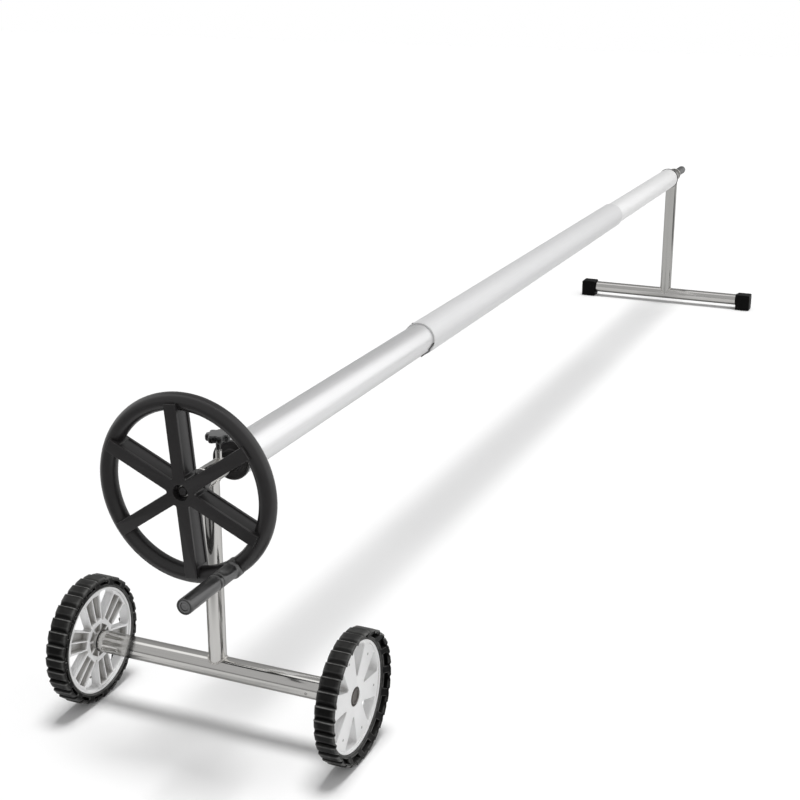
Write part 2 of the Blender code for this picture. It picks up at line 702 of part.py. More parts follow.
def seamBush(name, mouth, inwards, parent, finish):
    """The liner in an end of the centre tube; its thin flange shows at the tube's mouth."""
    bore = END_TUBE + GAP
    liner = CENTRE_TUBE - CENTRE_WALL - GAP
    flange = mouth - inwards * GAP
    face = flange - inwards * SEAM_FLANGE_WIDTH
    end = flange + inwards * SEAM_BUSH
    profile = [(SEAM_FLANGE, face), (SEAM_FLANGE, flange), (liner, flange), (liner, end), (bore, end), (bore, face)]
    placed(name, turned(profile, TUBE_SIDES, "Y"), parent, finish)


def slidingTubes(reel, finishes):
    steel, black = finishes["steel"], finishes["black"]
    centre = body("centre_tube_slide", (0, NEAR_Y + NEAR_SEAM, SHAFT_HEIGHT), reel)
    length = FAR_SEAM - NEAR_SEAM
    shell = pipe(CENTRE_TUBE, CENTRE_TUBE - CENTRE_WALL, 0, length, TUBE_SIDES, "Y")
    placed("centre_tube", shell, centre, finishes["aluminium"])
    seamBush("near_seam_bush", 0, 1, centre, black)
    seamBush("far_seam_bush", length, -1, centre, black)

    far = body("far_tube_slide", (0, FAR_Y, SHAFT_HEIGHT), centre)
    inner_face = FAR_SLEEVE_INNER - GAP - BUSH_FLANGE
    tube_end = inner_face - GAP - WASHER - GAP - FAR_FLANGE - GAP
    tube_start = FAR_SEAM - TUBE_LAP - STAND_TO_STAND
    tube = pipe(END_TUBE, END_TUBE - END_WALL, tube_start, tube_end, TUBE_SIDES, "Y")
    placed("far_tube", tube, far, finishes["aluminium"])
    pin = tubePlug("far_tube_plug", tube_end, -1, FAR_FLANGE, far, black)
    drivePin("far_drive_pin", pin, far, steel)
    shaftWithPin("far_shaft", tube_end - PLUG_BOSS_LENGTH, FAR_REACH - 0.012, pin, far, steel)
    shaftWasher("far_shaft_washer", inner_face - GAP - WASHER, far, steel)
    collar_start = FAR_SLEEVE_OUTER + GAP + BUSH_FLANGE + GAP
    collar_end = collar_start + COLLAR_WIDTH
    collar = pipe(COLLAR_RADIUS, SHAFT + GAP, collar_start, collar_end, SMALL, "Y")
    placed("retaining_collar", collar, far, steel)
    placed("carry_grip", carryGrip(collar_end + 0.0005), far, finishes["grip"])

    foot = body("far_stand_axis", (0, FAR_Y, SHAFT_HEIGHT), far)
    farStand(foot, finishes)


def carryGrip(start):
    """A sleeve with raised rings and a closed round end, pushed on the far shaft."""
    bore, blind = SHAFT + GAP, FAR_REACH - 0.011
    body_radius, groove, collar = 0.0150, 0.0139, 0.0165
    profile = [(0, FAR_REACH), (0.0080, FAR_REACH), (0.0125, FAR_REACH - 0.0018), (body_radius, FAR_REACH - 0.007)]
    rings, first = 3, start + 0.012
    pitch = (FAR_REACH - 0.016 - first) / rings
    for index in reversed(range(rings)):
        place = first + pitch * index
        profile += [(body_radius, place + 0.0038), (groove, place + 0.0022), (groove, place)]
        profile.append((body_radius, place - 0.0016))
    profile += [(collar, start + 0.0060), (collar, start + 0.0015), (body_radius, start), (bore, start)]
    profile += [(bore, blind), (0, blind)]
    return turned(profile, SMALL - 2, "Y")


def footCap(word, side, parent, finish):
    middle = FOOT_SPREAD - CAP_LENGTH / 2
    floor = -SHAFT_HEIGHT
    at = (side * middle, 0, floor + CAP_HEIGHT / 2)
    cap = placed(f"foot_cap_{word}", block((CAP_LENGTH, CAP_DEPTH, CAP_HEIGHT), at), parent, finish)
    round_off = cap.modifiers.new("edges", "BEVEL")
    round_off.width = CAP_EDGE
    round_off.segments = 2
    low, high = sorted((side * (middle - CAP_LENGTH), side * (FOOT_SPREAD - CAP_END)))
    shaped(cap, "DIFFERENCE", rod(FAR_TUBES + GAP, low, high, ROUND, "X", (0, 0, floor + BAR_HEIGHT)))


def farStand(foot, finishes):
    """Modelled about the far shaft, so the floor is the shaft's height below."""
    steel = finishes["steel"]
    bar = BAR_HEIGHT - SHAFT_HEIGHT
    half = FOOT_SPREAD - CAP_END - GAP
    steelTube("foot_bar", FAR_TUBES, -half, half, "X", (0, 0, bar), foot, steel)
    post = steelTube("far_post", FAR_TUBES, bar, 0, "Z", (0, 0, 0), foot, steel)
    shaped(post, "DIFFERENCE", rod(FAR_TUBES + GAP, -0.06, 0.06, ROUND, "X", (0, 0, bar)))
    shaped(post, "DIFFERENCE", rod(FAR_SLEEVE + GAP, -0.08, 0.08, ROUND, "Y"))
    steelTube(
        "far_bearing_sleeve", FAR_SLEEVE, FAR_SLEEVE_INNER, FAR_SLEEVE_OUTER, "Y", (0, 0, 0), foot, steel,
        SLEEVE_WALL,
    )
    flangedBush("far_inner_bush", FAR_SLEEVE, FAR_SLEEVE_INNER, -1, foot, finishes["nylon"])
    flangedBush("far_outer_bush", FAR_SLEEVE, FAR_SLEEVE_OUTER, 1, foot, finishes["nylon"])
    for word, side in (("left", -1), ("right", 1)):
        footCap(word, side, foot, finishes["black"])


bodyPlaces = {}
clearScene()
finishes = {
    "steel": material("polished_stainless", (0.62, 0.61, 0.59), 0.16, 1.0),
    "aluminium": material("satin_aluminium", (0.80, 0.80, 0.81), 0.38, 1.0),
    "black": material("black_moulding", (0.020, 0.020, 0.021), 0.48),
    "knob": material("black_knob", (0.016, 0.016, 0.017), 0.30),
    "grip": material("dark_grip", (0.030, 0.030, 0.032), 0.55),
    "tyre": material("tyre_rubber", (0.018, 0.018, 0.018), 0.72),
    "hub": material("pale_hub", (0.70, 0.70, 0.71), 0.40),
    "nylon": material("nylon_bush", (0.72, 0.71, 0.68), 0.45),
    "grey": material("axle_cap_grey", (0.16, 0.14, 0.13), 0.40),
}
near_stand = wheeledStand(finishes)
roadWheel("left", -1, near_stand, finishes)
roadWheel("right", 1, near_stand, finishes)
near_reel = nearReel(near_stand, finishes)
lockScrew(near_stand, finishes)
slidingTubes(near_reel, finishes)
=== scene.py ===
import json
import math

import bmesh
import bpy
from mathutils import Matrix, Vector


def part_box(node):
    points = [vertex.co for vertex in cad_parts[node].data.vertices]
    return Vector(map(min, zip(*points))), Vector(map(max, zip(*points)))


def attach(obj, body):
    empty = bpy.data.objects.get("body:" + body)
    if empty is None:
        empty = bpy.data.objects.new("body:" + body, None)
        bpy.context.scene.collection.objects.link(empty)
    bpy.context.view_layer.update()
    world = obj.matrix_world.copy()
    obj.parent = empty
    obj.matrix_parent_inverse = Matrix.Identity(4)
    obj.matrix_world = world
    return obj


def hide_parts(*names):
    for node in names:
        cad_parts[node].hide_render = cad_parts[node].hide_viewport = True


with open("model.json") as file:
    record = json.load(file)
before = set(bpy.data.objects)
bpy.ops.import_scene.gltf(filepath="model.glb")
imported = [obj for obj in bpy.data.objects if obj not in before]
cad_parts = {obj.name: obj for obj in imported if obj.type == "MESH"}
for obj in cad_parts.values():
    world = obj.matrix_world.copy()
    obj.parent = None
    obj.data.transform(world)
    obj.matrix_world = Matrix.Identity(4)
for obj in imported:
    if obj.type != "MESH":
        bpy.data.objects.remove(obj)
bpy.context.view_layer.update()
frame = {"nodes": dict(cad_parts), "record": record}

record = frame["record"]
bodyOf = {node: body for body, nodes in record["behaviour"]["bodies"].items() for node in nodes}
slotOf = {part["node"]: part["material_slot"] for part in record["subparts"]}
gap = 0.0003  # left between pieces that would touch
shaftBore = 0.0103  # radius of the holes that the shaft goes through


def middleOf(node):
    low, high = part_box(node)
    return (low + high) / 2


def halfOf(node):
    low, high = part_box(node)
    return (high - low) / 2


def endsOf(node, axis, outwards):
    # Where a node ends along x or y: first on the side that outwards (1 or -1) gives, then on the other
    low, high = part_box(node)
    ends = (getattr(high, axis), getattr(low, axis))
    return ends if outwards > 0 else ends[::-1]


axle = middleOf("axle_tube")
shaft = Vector((0, axle.y, middleOf("near_bearing_sleeve").z))
onShaft = (0, 0, shaft.z)  # for pieces made about the roller's line, with the frame's own Y
farFoot = middleOf("foot_bar")


# Shape helpers: every mesh is made about +Z, then laid along an axis

layAlong = {
    "X": Matrix.Rotation(math.radians(90), 4, "Y"),
    "Y": Matrix.Rotation(math.radians(-90), 4, "X"),
    "Z": Matrix.Identity(4),
}


def laid(mesh, along="Z", at=(0, 0, 0)):
    bmesh.ops.transform(mesh, matrix=Matrix.Translation(at) @ layAlong[along], verts=mesh.verts)
    return mesh


def skin(rings, loop=False, ends=True):
    # Rings of equally many points joined into one shell; loop joins the last ring to the first
    mesh = bmesh.new()
    rows = [[mesh.verts.new(point) for point in ring] for ring in rings]
    pairs = list(zip(rows, rows[1:])) + ([(rows[-1], rows[0])] if loop else [])
    for low, high in pairs:
        for i, corner in enumerate(low):
            after = (i + 1) % len(low)
            mesh.faces.new((corner, low[after], high[after], high[i]))
    if ends and not loop:
        mesh.faces.new(rows[0])
        mesh.faces.new(rows[-1])
    return mesh


def eased(points, closed=True, arcSteps=4):
    # Points are (x, y) or (x, y, radius); a radius rounds that corner with an arc
    ring = []
    for index, (x, y, *ease) in enumerate(points):
        here = Vector((x, y))
        lastOne = not closed and index in (0, len(points) - 1)
        if lastOne or not ease or ease[0] <= 0:
            ring.append((x, y))
            continue
        before = Vector(points[index - 1][:2]) - here
        after = Vector(points[(index + 1) % len(points)][:2]) - here
        half = before.angle(after) / 2
        reach = min(ease[0] / math.tan(half), 0.49 * before.length, 0.49 * after.length)
        radius = reach * math.tan(half)
        inward = (before.normalized() + after.normalized()).normalized()
        centre = here + inward * (radius / math.sin(half))
        first = here + before.normalized() * reach - centre
        last = here + after.normalized() * reach - centre
        turn = first.angle_signed(last)
        for step in range(arcSteps + 1):
            spot = centre + Matrix.Rotation(-turn * step / arcSteps, 2) @ first
            ring.append((spot.x, spot.y))
    return ring


def lathe(profile, steps=96, along="Z", at=(0, 0, 0), arcSteps=4):
    # Profile of (radius, height, corner radius); it closes on itself unless it starts on the axis
    closed = profile[0][0] > 0
    line = eased(profile, closed, arcSteps)
    turns = [(math.cos(math.tau * i / steps), math.sin(math.tau * i / steps)) for i in range(steps)]
    mesh = skin([[(r * c, r * s, h) for c, s in turns] for r, h in line], closed, False)
    bmesh.ops.remove_doubles(mesh, verts=mesh.verts, dist=1e-7)
    return laid(mesh, along, at)


def pipe(outer, inner, start, end, along="Z", at=(0, 0, 0), ease=0.0004, steps=96):
    profile = [(outer, end, ease), (outer, start, ease), (inner, start, ease), (inner, end, ease)]
    return lathe(profile, steps, along, at, 3)


def together(meshes):
    whole = bmesh.new()
    for mesh in meshes:
        carrier = bpy.data.meshes.new("carrier")
        mesh.to_mesh(carrier)
        mesh.free()
        whole.from_mesh(carrier)
        bpy.data.meshes.remove(carrier)
    return whole


def plate(outlines, low, high, ease=0.0008, rounds=2):
    # A flat plate from low to high; the first outline is its edge, the others its openings
    curve = bpy.data.curves.new("outline", "CURVE")
    curve.dimensions = "2D"
    curve.fill_mode = "BOTH"
    curve.extrude = (high - low) / 2 - ease
    curve.bevel_depth = ease
    curve.bevel_resolution = rounds
    curve.offset = -ease
    for outline in outlines:
        spline = curve.splines.new("POLY")
        spline.points.add(len(outline) - 1)
        spline.use_cyclic_u = True
        for point, (x, y) in zip(spline.points, outline):
            point.co = (x, y, 0, 1)
    carrier = bpy.data.objects.new("outline", curve)
    data = bpy.data.meshes.new_from_object(carrier)
    mesh = bmesh.new()
    mesh.from_mesh(data)
    bmesh.ops.remove_doubles(mesh, verts=mesh.verts, dist=1e-6)
    bmesh.ops.translate(mesh, vec=(0, 0, (high + low) / 2), verts=mesh.verts)
    bpy.data.objects.remove(carrier)
    bpy.data.curves.remove(curve)
    bpy.data.meshes.remove(data)
    return mesh


def cutAway(mesh, tool):
    carriers = []
    for part in (mesh, tool):
        bmesh.ops.recalc_face_normals(part, faces=part.faces)
        data = bpy.data.meshes.new("carrier")
        part.to_mesh(data)
        part.free()
        carrier = bpy.data.objects.new("carrier", data)
        bpy.context.scene.collection.objects.link(carrier)
        carriers.append(carrier)
    change = carriers[0].modifiers.new("cut", "BOOLEAN")
    change.operation = "DIFFERENCE"
    change.object = carriers[1]
    change.solver = "EXACT"
    bpy.context.view_layer.update()
    evaluated = carriers[0].evaluated_get(bpy.context.evaluated_depsgraph_get())
    result = bmesh.new()
    result.from_mesh(evaluated.to_mesh())
    evaluated.to_mesh_clear()
    for carrier in carriers:
        data = carrier.data
        bpy.data.objects.remove(carrier)
        bpy.data.meshes.remove(data)
    return result


def polar(radius, degrees):
    angle = math.radians(degrees)
    return (radius * math.cos(angle), radius * math.sin(angle))


def circle(radius, steps=120):
    return [polar(radius, 360 * i / steps) for i in range(steps)]


def blendStep(low, high, value):
    # 0 below low, 1 above high and a soft slope between them
    share = min(max((value - low) / (high - low), 0.0), 1.0)
    return share * share * (3 - 2 * share)


def addPiece(name, mesh, body, slot, finish=None, sharp=32):
    # Edges that bend by more than sharp degrees stay sharp
    bmesh.ops.recalc_face_normals(mesh, faces=mesh.faces)
    data = bpy.data.meshes.new(name)
    mesh.to_mesh(data)
    mesh.free()
    data.shade_smooth()
    data.set_sharp_from_angle(angle=math.radians(sharp))
    data.materials.append(finish or finishes[slot])
    piece = bpy.data.objects.new(name, data)
    bpy.context.scene.collection.objects.link(piece)
    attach(piece, body)
    return piece


def dress(node, mesh, finish=None, sharp=32):
    # The fine shape that stands for one CAD node
    piece = addPiece(f"{node}_fine", mesh, bodyOf[node], slotOf[node], finish, sharp)
    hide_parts(node)


# Material helpers


def addNode(tree, kind, wires=None, **settings):
    # Wires give an input either a value or another node's output
    made = tree.nodes.new(kind)
    for key, value in settings.items():
        setattr(made, key, value)
    for key, value in (wires or {}).items():
        if isinstance(value, bpy.types.NodeSocket):
            tree.links.new(value, made.inputs[key])
        else:
            made.inputs[key].default_value = value
    return made


def maths(tree, operation, *values, kind="Math"):
    wires = dict(enumerate(values))
    return addNode(tree, f"ShaderNode{kind}", wires, operation=operation).outputs[0]


def ranged(tree, value, low, high, fromLow=0.3, fromHigh=0.7, shape="LINEAR"):
    # What lies between fromLow and fromHigh is spread from low to high, and held beyond them
    wires = {"Value": value, "From Min": fromLow, "From Max": fromHigh, "To Min": low, "To Max": high}
    return addNode(tree, "ShaderNodeMapRange", wires, interpolation_type=shape).outputs[0]


def noise(tree, place, scale, detail=2.0, softness=0.5):
    wires = {"Vector": place, "Scale": scale, "Detail": detail, "Roughness": softness}
    return addNode(tree, "ShaderNodeTexNoise", wires).outputs[0]


def mixed(tree, share, first, second):
    # Two colours mixed; inputs 6 and 7 and output 2 are the Mix node's colour sockets
    wires = {"Factor": share, 6: first, 7: second}
    return addNode(tree, "ShaderNodeMix", wires, data_type="RGBA").outputs[2]


def grey(value):
    return (value, value, value)


def newGroup(name, takes, gives):
    group = bpy.data.node_groups.new(name, "ShaderNodeTree")
    for label, kind, value in takes:
        socket = group.interface.new_socket(label, in_out="INPUT", socket_type=f"NodeSocket{kind}")
        socket.default_value = value
    for label, kind in gives:
        group.interface.new_socket(label, in_out="OUTPUT", socket_type=f"NodeSocket{kind}")
    return group, group.nodes.new("NodeGroupInput").outputs, group.nodes.new("NodeGroupOutput").inputs


def makeGrainGroup():
    # Speckle or streaks in the object's own metres, stretched by the Lines vector
    takes = [("Lines", "Vector", (400, 400, 400)), ("Softness", "Float", 0.5), ("Detail", "Float", 3.0)]
    group, given, made = newGroup("surface grain", takes, [("Fine", "Float"), ("Broad", "Float")])
    place = addNode(group, "ShaderNodeTexCoord").outputs["Object"]
    scaled = maths(group, "MULTIPLY", place, given["Lines"], kind="VectorMath")
    group.links.new(noise(group, scaled, 1.0, given["Detail"], given["Softness"]), made["Fine"])
    group.links.new(noise(group, place, 14.0, 4.0), made["Broad"])
    return group


def makeEdgeGroup():
    # Outer edges a little paler, broken up by noise: rubbed wear, and on the tyre's lug crests a painted
    # highlight
    takes = [("Reach", "Float", 0.06), ("Amount", "Float", 0.5)]
    group, given, made = newGroup("edge wear and painted highlight", takes, [("WornAndLit", "Float")])
    shape = addNode(group, "ShaderNodeNewGeometry")
    place = addNode(group, "ShaderNodeTexCoord")
    limit = maths(group, "ADD", 0.5, given["Reach"])
    edge = ranged(group, shape.outputs["Pointiness"], 0.0, 1.0, 0.505, limit)
    broken = maths(group, "MULTIPLY", edge, noise(group, place.outputs["Object"], 90.0))
    group.links.new(maths(group, "MULTIPLY", broken, given["Amount"]), made["WornAndLit"])
    return group


def makeDustAndTopLightGroup():
    # Faces that look up made paler: settled dust, and a painted top light
    group, given, made = newGroup("settled dust and painted top light", [("Amount", "Float", 0.2)], [("DustAndTopLight", "Float")])
    shape = addNode(group, "ShaderNodeNewGeometry")
    place = addNode(group, "ShaderNodeTexCoord")
    split = addNode(group, "ShaderNodeSeparateXYZ", {0: shape.outputs["Normal"]})
    up = ranged(group, split.outputs["Z"], 0.0, 1.0, 0.2, 1.0)
    broken = maths(group, "MULTIPLY", up, noise(group, place.outputs["Object"], 45.0, 6.0))
    group.links.new(maths(group, "MULTIPLY", broken, given["Amount"]), made["DustAndTopLight"])
    return group


def makeRecessShadeGroup():
    # Painted shade gathered in pockets and corners; 1 in the deepest places
    takes = [("Reach", "Float", 0.02), ("Amount", "Float", 0.5)]
    group, given, made = newGroup("painted recess shade", takes, [("PaintedShade", "Float")])
    nearby = addNode(group, "ShaderNodeAmbientOcclusion", {"Distance": given["Reach"]}, samples=8)
    closed = ranged(group, nearby.outputs["AO"], 0.0, 1.0, 0.80, 0.25)
    group.links.new(maths(group, "MULTIPLY", closed, given["Amount"]), made["PaintedShade"])
    return group


groups = {
    "grain": makeGrainGroup(),
    "edge": makeEdgeGroup(),
    "dustAndTopLight": makeDustAndTopLightGroup(),
    "recessShade": makeRecessShadeGroup(),
}


def newMaterial(name):
    made = bpy.data.materials.new(name)
    made.use_nodes = True
    return made, made.node_tree, made.node_tree.nodes["Principled BSDF"]


def useGroup(tree, key, wires):
    placed = addNode(tree, "ShaderNodeGroup")
    placed.node_tree = groups[key]
    for label, value in wires.items():
        placed.inputs[label].default_value = value
    return placed.outputs


def tinted(tree, colour, factor):
    # A colour multiplied by a grey value that changes over the surface
    return maths(tree, "MULTIPLY", (*colour,), factor, kind="VectorMath")


def addBump(tree, shader, grain, depth):
    bump = addNode(tree, "ShaderNodeBump", {"Strength": 1.0, "Distance": depth, "Height": grain})
    tree.links.new(bump.outputs[0], shader.inputs["Normal"])


def metalFinish(name, colour, roughness, lines, drift=0.05, shade=0.04, depth=0.00001, edgeTint=0.5,
                metal=1.0):
    # Drift is how far the roughness wanders, shade how far the colour does
    made, tree, shader = newMaterial(name)
    grain = useGroup(tree, "grain", {"Lines": lines, "Softness": 0.6, "Detail": 4.0})
    shader.inputs["Metallic"].default_value = metal
    shader.inputs["Specular Tint"].default_value = (*grey(edgeTint), 1.0)
    streaks = ranged(tree, grain["Fine"], -drift, drift)
    patches = ranged(tree, grain["Broad"], roughness - drift / 2, roughness + drift / 2)
    tree.links.new(maths(tree, "ADD", streaks, patches), shader.inputs["Roughness"])
    shading = ranged(tree, grain["Fine"], 1 - shade, 1 + shade)
    tree.links.new(tinted(tree, colour, shading), shader.inputs["Base Color"])
    addBump(tree, shader, grain["Fine"], depth)
    return made


def plasticFinish(name, look):
    made, tree, shader = newMaterial(name)
    speck, mottle, rough = look["grain"], look["mottle"], look["roughness"]
    grain = useGroup(tree, "grain", {"Lines": (speck, speck, speck), "Softness": 0.55, "Detail": 3.0})
    wornAndLit = useGroup(tree, "edge", {"Reach": look.get("edgeReach", 0.06), "Amount": look["edge"]})["WornAndLit"]
    dustAndTopLight = useGroup(tree, "dustAndTopLight", {"Amount": look.get("dustAndTopLight", 0.0)})["DustAndTopLight"]
    shader.inputs["Specular IOR Level"].default_value = look["gloss"]
    shader.inputs["IOR"].default_value = look.get("ior", 1.5)
    base = tinted(tree, look["colour"], ranged(tree, grain["Broad"], 1 - mottle, 1 + mottle))
    shown = mixed(tree, maths(tree, "ADD", wornAndLit, dustAndTopLight), base, (*look["pale"], 1.0))
    # painted shade darkens pockets and corners
    if "paintedShadeColour" in look:
        reached = {"Reach": look["paintedShadeReach"], "Amount": look["paintedShadeAmount"]}
        shown = mixed(tree, useGroup(tree, "recessShade", reached)["PaintedShade"], shown, (*look["paintedShadeColour"], 1.0))
    tree.links.new(shown, shader.inputs["Base Color"])
    tree.links.new(ranged(tree, grain["Broad"], rough - 0.05, rough + 0.06), shader.inputs["Roughness"])
    addBump(tree, shader, grain["Fine"], look["depth"])
    return made


linesAlong = {"X": (8, 900, 900), "Y": (900, 8, 900), "Z": (900, 900, 8)}
brushedTube = {"lines": (1100, 5, 1100), "depth": 0.000012, "edgeTint": 0.7}


def polishedSteel(name, axis, colour, roughness):
    return metalFinish(f"{name}, lines along {axis}", colour, roughness, linesAlong[axis], drift=0.03)


steelX, steelY, steelZ = (polishedSteel("polished steel", axis, (0.69, 0.68, 0.66), 0.11) for axis in "XYZ")
# the far stand's steel is painted darker than the near stand's, its post darkest: painted shade
shadedFarSteelX = polishedSteel("far stand steel", "X", (0.62, 0.61, 0.595), 0.12)
shadedFarSteelZ = polishedSteel("far stand steel", "Z", (0.50, 0.495, 0.48), 0.12)
weldSteel = metalFinish(
    "weld bead", (0.72, 0.70, 0.67), 0.26, lines=(500, 500, 500), drift=0.08, shade=0.10, depth=0.00004
)

finishes = {
    "polished_stainless": steelY,
    "satin_aluminium": metalFinish(
        "satin aluminium", (0.93, 0.93, 0.935), 0.36, drift=0.05, shade=0.03, metal=0.78, **brushedTube
    ),
    "black_moulding": plasticFinish("black moulding", {
        "colour": (0.0125, 0.0112, 0.0117), "pale": grey(0.07), "mottle": 0.12, "roughness": 0.33,
        "grain": 1400, "depth": 0.00002, "gloss": 0.60, "edge": 0.15,
    }),
    "black_knob": plasticFinish("black knob", {
        "colour": grey(0.004), "pale": grey(0.04), "mottle": 0.10, "roughness": 0.16,
        "grain": 900, "depth": 0.00001, "gloss": 0.9, "edge": 0.15,
    }),
    "dark_grip": plasticFinish("soft grip", {
        "colour": grey(0.006), "pale": grey(0.08), "mottle": 0.14, "roughness": 0.30,
        "grain": 1800, "depth": 0.00002, "gloss": 0.62, "edge": 0.10, "ior": 1.95,
    }),
    "tyre_rubber": plasticFinish("tyre rubber", {
        # the paler lug crests are a painted highlight
        "colour": (0.0028, 0.0026, 0.0025), "pale": (0.40, 0.40, 0.39), "mottle": 0.18, "roughness": 0.36,
        # the paler upward faces are dust and a painted top light
        "grain": 1100, "depth": 0.00005, "gloss": 0.12, "edge": 0.55, "edgeReach": 0.05, "dustAndTopLight": 0.11,
    }),
    "pale_hub": plasticFinish("pale hub", {
        "colour": grey(0.86), "pale": grey(0.92), "mottle": 0.01, "roughness": 0.36,
        "grain": 900, "depth": 0.000015, "gloss": 0.5, "edge": 0.3,
        # the darker grey-brown in its pockets and corners is painted shade
        "paintedShadeColour": (0.30, 0.285, 0.26), "paintedShadeReach": 0.022, "paintedShadeAmount": 0.75,
    }),
    "nylon_bush": plasticFinish("nylon", {
        "colour": (0.72, 0.71, 0.68), "pale": (0.80, 0.79, 0.76), "mottle": 0.03, "roughness": 0.45,
        "grain": 800, "depth": 0.00002, "gloss": 0.4, "edge": 0.2,
    }),
    "axle_cap_grey": plasticFinish("grey cap", {
        "colour": (0.085, 0.074, 0.068), "pale": (0.24, 0.22, 0.20), "mottle": 0.10, "roughness": 0.36,
        "grain": 900, "depth": 0.00002, "gloss": 0.5, "edge": 0.3,
    }),
}
tubeFinish = {
    "near_tube": finishes["satin_aluminium"],
    "centre_tube": metalFinish(
        "matt aluminium", (0.80, 0.80, 0.805), 0.58, drift=0.04, shade=0.03, metal=0.50, **brushedTube
    ),
    "far_tube": metalFinish(
        "pale aluminium", grey(0.92), 0.50, drift=0.04, shade=0.02, metal=0.50, **brushedTube
    ),
}
# a paler grey for the plate in the knob's top: painted highlight
knobHighlightGrey = plasticFinish("knob top painted highlight", {
    "colour": grey(0.11), "pale": grey(0.24), "mottle": 0.08, "roughness": 0.40,
    "grain": 1200, "depth": 0.00002, "gloss": 0.6, "edge": 0.2,
})
seamGrey = plasticFinish("seam liner", {
    "colour": grey(0.66), "pale": grey(0.75), "mottle": 0.06, "roughness": 0.42,
    "grain": 1200, "depth": 0.00002, "gloss": 0.5, "edge": 0.2,
})
pinGrey = plasticFinish("grip insert", {
    "colour": (0.16, 0.16, 0.162), "pale": grey(0.26), "mottle": 0.10, "roughness": 0.34,
    "grain": 1200, "depth": 0.00002, "gloss": 0.6, "edge": 0.2,
})
# grey for the ejector marks: painted shade
markShadeGrey = plasticFinish("hub mark painted shade", {
    "colour": (0.42, 0.41, 0.40), "pale": grey(0.60), "mottle": 0.05, "roughness": 0.40,
    "grain": 900, "depth": 0.00002, "gloss": 0.4, "edge": 0.2,
})
neckBlack = plasticFinish("crank neck", {
    "colour": grey(0.006), "pale": grey(0.06), "mottle": 0.08, "roughness": 0.40,
    "grain": 1200, "depth": 0.00001, "gloss": 0.62, "edge": 0.05, "ior": 2.1,
})
capBlack = plasticFinish("foot cap black", {
    "colour": grey(0.0012), "pale": grey(0.03), "mottle": 0.12, "roughness": 0.5,
    "grain": 1200, "depth": 0.00003, "gloss": 0.10, "edge": 0.10,
})
print("finishes ready")


# Stands: tubes with mitred mouths, weld beads, bushes

stand = {
    "steelWall": 0.0015, "sleeveWall": 0.0018, "tubeSteps": 128, "sleeveSteps": 112, "tubeEase": 0.0003,
    "bead": 0.0017, "beadRipples": 34, "beadOut": 0.0004, "wheelSpread": 0.280,
}


def mitredTube(radius, wall, bottom, top, at, steps=128):
    # An upright tube; bottom and top give the height of its mouth over the point (x, y) of its wall
    turns = [math.tau * i / steps for i in range(steps)]
    outer = [(radius * math.cos(t), radius * math.sin(t)) for t in turns]
    inner = [(x * (1 - wall / radius), y * (1 - wall / radius)) for x, y in outer]
    middle = (bottom(0, 0) + top(0, 0)) / 2
    rings = [
        [(x, y, bottom(x, y)) for x, y in outer],
        [(x, y, middle) for x, y in outer],
        [(x, y, top(x, y)) for x, y in outer],
        [(x, y, top(x, y)) for x, y in inner],
        [(x, y, bottom(x, y)) for x, y in inner],
    ]
    mesh = skin(rings, loop=True)
    bmesh.ops.translate(mesh, vec=at, verts=mesh.verts)
    return mesh


def weldBead(radius, height, at, size, ripples, steps=272):
    # A rippled bead round an upright tube, where it meets the tube it stands on
    rings = []
    for i in range(steps):
        turn = math.tau * i / steps
        x, y = radius * math.cos(turn), radius * math.sin(turn)
        spot = Vector((x, y, height(x, y)))
        outwards = Vector((math.cos(turn), math.sin(turn), 0))
        thick = size * (0.86 + 0.20 * abs(math.sin(turn * ripples / 2)))
        ring = []
        for j in range(10):
            lean = math.tau * j / 10
            ring.append(spot + (outwards * math.cos(lean) + Vector((0, 0, math.sin(lean)))) * thick)
        rings.append(ring)
    mesh = skin(rings, loop=True)
    bmesh.ops.translate(mesh, vec=at, verts=mesh.verts)
    return mesh


def lyingTop(radius, height, along, side=1):
    # Height of the top of a tube that lies along X or Y, or of its underside where side is -1
    def surface(x, y):
        offset = y if along == "X" else x
        return height + side * math.sqrt(max(radius ** 2 - offset ** 2, 0))
    return surface


def makeStand(words, lyingTube, post, sleeve, lyingSteel, postSteel):
    # One stand: lying tube, upright post, bearing sleeve and the two welds
    middle = middleOf(lyingTube)
    base = Vector((0, middle.y, 0))
    lyingRadius, postRadius, sleeveRadius = halfOf(lyingTube).z, halfOf(post).x, halfOf(sleeve).x
    reach, wall = halfOf(lyingTube).x, stand["steelWall"]
    lying = pipe(lyingRadius, lyingRadius - wall, -reach, reach, "X", base + Vector((0, 0, middle.z)),
                 stand["tubeEase"], stand["tubeSteps"])
    dress(lyingTube, lying, lyingSteel)
    foot = lyingTop(lyingRadius + gap, middle.z, "X")
    head = lyingTop(sleeveRadius + gap, shaft.z, "Y", -1)
    dress(post, mitredTube(postRadius, wall, foot, head, base), postSteel)
    low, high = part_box(sleeve)
    inside = sleeveRadius - stand["sleeveWall"]
    bored = pipe(sleeveRadius, inside, low.y, high.y, "Y", onShaft, steps=stand["sleeveSteps"])
    dress(sleeve, bored, steelY)
    for end, surface in (("foot", foot), ("head", head)):
        bead = weldBead(postRadius + stand["beadOut"], surface, base, stand["bead"], stand["beadRipples"])
        addPiece(f"{words}_{end}_weld", bead, bodyOf[post], "polished_stainless", weldSteel, sharp=60)


makeStand("near", "axle_tube", "near_post", "near_bearing_sleeve", steelX, steelZ)
makeStand("far", "foot_bar", "far_post", "far_bearing_sleeve", shadedFarSteelX, shadedFarSteelZ)


bearingBush = {"flange": 0.0027, "flangeOver": 0.001}


